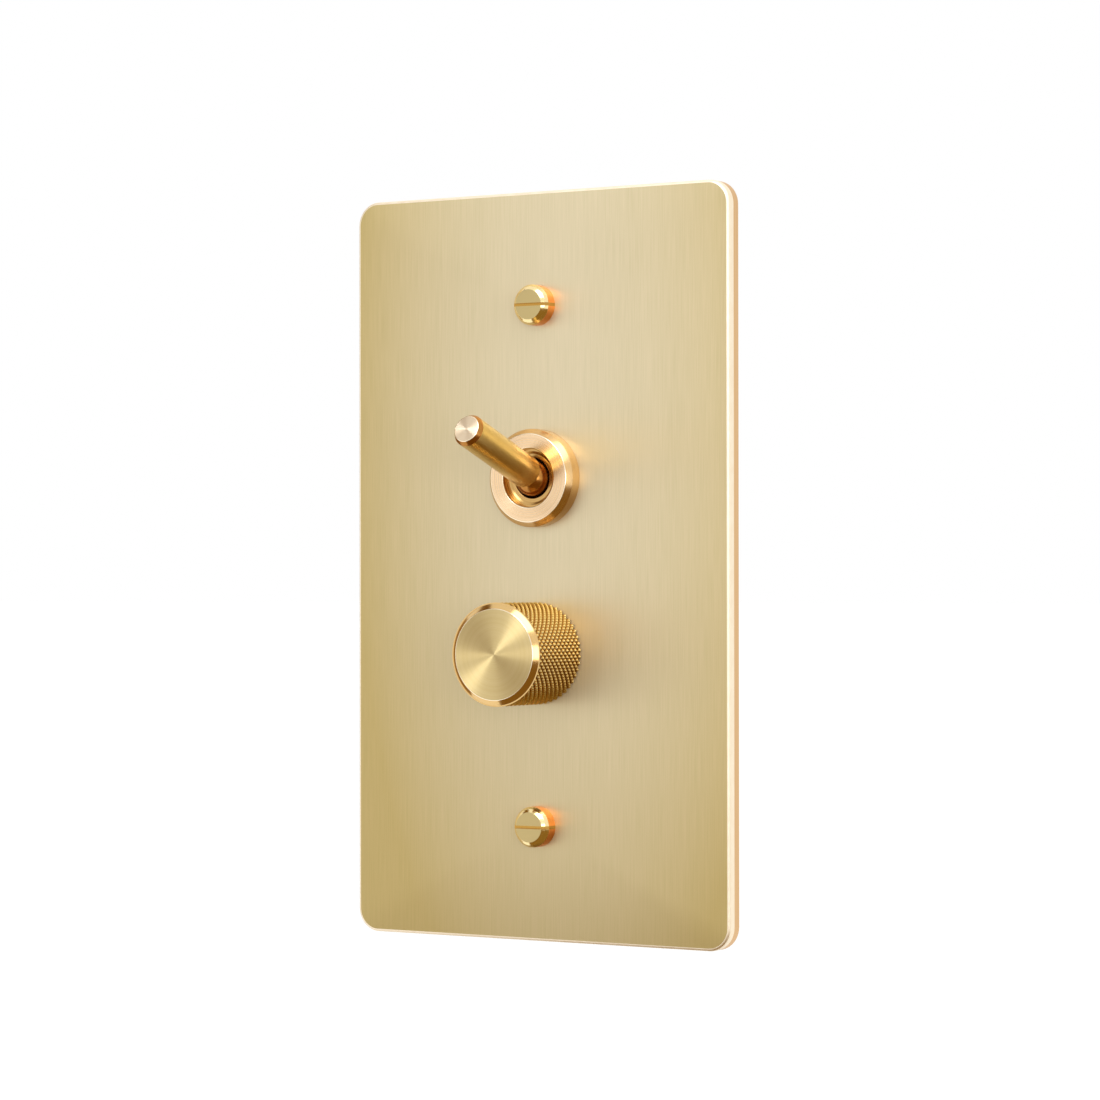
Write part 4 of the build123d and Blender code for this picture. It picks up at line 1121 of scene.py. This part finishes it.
floor_drop = 0.2
floor_size = 60.0
floor_mesh = bpy.data.meshes.new("studio_floor")
half = floor_size / 2
floor_mesh.from_pydata(
    [(-half, -half, -floor_drop), (half, -half, -floor_drop),
     (half, half, -floor_drop), (-half, half, -floor_drop)],
    [], [(0, 1, 2, 3)],
)
floor = new_object("studio_floor", floor_mesh)
finish = bpy.data.materials.new("white_studio_floor")
finish.use_nodes = True
tree = finish.node_tree
tree.nodes.clear()
paint = add(tree, "ShaderNodeBsdfDiffuse", {"Color": (0.9, 0.9, 0.9, 1)})
thin_paint = add(tree, "ShaderNodeBsdfDiffuse", {"Color": (0.3, 0.3, 0.3, 1)})
glow = add(tree, "ShaderNodeEmission", {"Color": (1, 1, 1, 1), "Strength": 0.8})
white = add(tree, "ShaderNodeAddShader", {0: thin_paint.outputs[0], 1: glow.outputs[0]})
mixed = add(
    tree, "ShaderNodeMixShader",
    {0: seen_directly(tree), 1: paint.outputs[0], 2: white.outputs[0]},
)
add(tree, "ShaderNodeOutputMaterial", {"Surface": mixed.outputs[0]})
floor_mesh.materials.append(finish)

world = bpy.data.worlds.new("white_surround")
world.use_nodes = True
bpy.context.scene.world = world
tree = world.node_tree
tree.nodes.clear()
dim = add(tree, "ShaderNodeBackground", {"Color": (1, 1, 1, 1), "Strength": 0.8})
white = add(tree, "ShaderNodeBackground", {"Color": (1, 1, 1, 1), "Strength": 1.0})
mixed = add(
    tree, "ShaderNodeMixShader",
    {0: seen_directly(tree), 1: dim.outputs[0], 2: white.outputs[0]},
)
add(tree, "ShaderNodeOutputWorld", {"Surface": mixed.outputs[0]})


def direction(azimuth, elevation):
    """A direction from the plate: azimuth 0 is straight out of the wall, positive to the right."""
    flat = math.cos(math.radians(elevation))
    return Vector((
        flat * math.sin(math.radians(azimuth)),
        -flat * math.cos(math.radians(azimuth)),
        math.sin(math.radians(elevation)),
    ))


def soft_box(name, azimuth, elevation, distance, width, height, level, colour="ffffff"):
    """A soft box that faces the plate, as bright as its level in the metal's reflections."""
    lamp = bpy.data.lights.new(name, "AREA")
    lamp.shape = "RECTANGLE"
    lamp.size = width
    lamp.size_y = height
    lamp.energy = level * math.pi * width * height
    lamp.color = linear(colour)[:3]
    stand = new_object(name, lamp)
    facing = direction(azimuth, elevation)
    stand.location = facing * distance
    stand.rotation_euler = facing.to_track_quat("Z", "Y").to_euler()


def flag(name, azimuth, elevation, distance, width, height, colour, moved=(0, 0, 0)):
    """A card that only reflections see. It faces the plate, and may then be moved aside."""
    mesh = bpy.data.meshes.new(name)
    facing = direction(azimuth, elevation)
    turn = facing.to_track_quat("Z", "Y")
    centre = facing * distance + Vector(moved)
    corners = [(-1, -1), (1, -1), (1, 1), (-1, 1)]
    mesh.from_pydata(
        [centre + turn @ Vector((x * width / 2, y * height / 2, 0)) for x, y in corners],
        [], [(0, 1, 2, 3)],
    )
    card = new_object(name, mesh)
    paint = bpy.data.materials.new(name)
    paint.use_nodes = True
    tree = paint.node_tree
    tree.nodes.clear()
    tone = add(tree, "ShaderNodeEmission", {"Color": linear(colour), "Strength": 1.0})
    add(tree, "ShaderNodeOutputMaterial", {"Surface": tone.outputs[0]})
    mesh.materials.append(paint)
    card.visible_camera = False
    card.visible_diffuse = False
    card.visible_shadow = False
    card.visible_transmission = False


soft_box("key_soft_box", 38, 52, distance=1.2, width=1.0, height=0.8, level=3.0)
soft_box(
    "front_soft_box", 0, 33, distance=1.2, width=0.5, height=0.45, level=4.5, colour="e6f0ff"
)
soft_box("right_soft_box", 42, 2, distance=1.2, width=0.8, height=0.4, level=2.5)
flag("left_card", -64, 35, distance=0.6, width=0.4, height=0.32, colour="7a5814")
flag("lower_right_card", -8, -25, distance=0.5, width=0.24, height=0.18, colour="80602a")
flag(
    "under_card", 0, -90, distance=0.16, width=0.7, height=0.7, colour="8a6a30",
    moved=(0.28, -0.32, 0),
)
flag("behind_card", -120, -22, distance=0.35, width=0.4, height=0.7, colour="a08048")

# Camera: a long lens on the right of the plate, level with its middle. Its place, turn and focal
# length were fitted to the photograph's plate, screws, ring and knob.

photo_width = 1100
focal_pixels = 3590
sensor_width = 36.0
camera_yaw = math.radians(31.98)
camera_pitch = math.radians(0.537)
camera_roll = math.radians(0.06)
camera_distance = 573.2
aim = Vector((2.27, -plate_front, 2.515))
turn = (
    Matrix.Rotation(camera_yaw, 3, "Z")
    @ Matrix.Rotation(camera_pitch, 3, "X")
    @ Matrix.Rotation(camera_roll, 3, "Y")
)
lens = bpy.data.cameras.new("photo_camera")
lens.sensor_width = sensor_width
lens.lens = focal_pixels / photo_width * sensor_width
lens.clip_start = 0.01
lens.clip_end = 200.0
camera = new_object("photo_camera", lens)
stand = (aim - turn @ Vector((0, camera_distance, 0))) / per_mm
camera.matrix_world = (
    Matrix.Translation(stand) @ (turn @ Matrix.Rotation(math.pi / 2, 3, "X")).to_4x4()
)
bpy.context.scene.camera = camera
bpy.context.scene.view_settings.view_transform = "Standard"

bpy.context.view_layer.update()
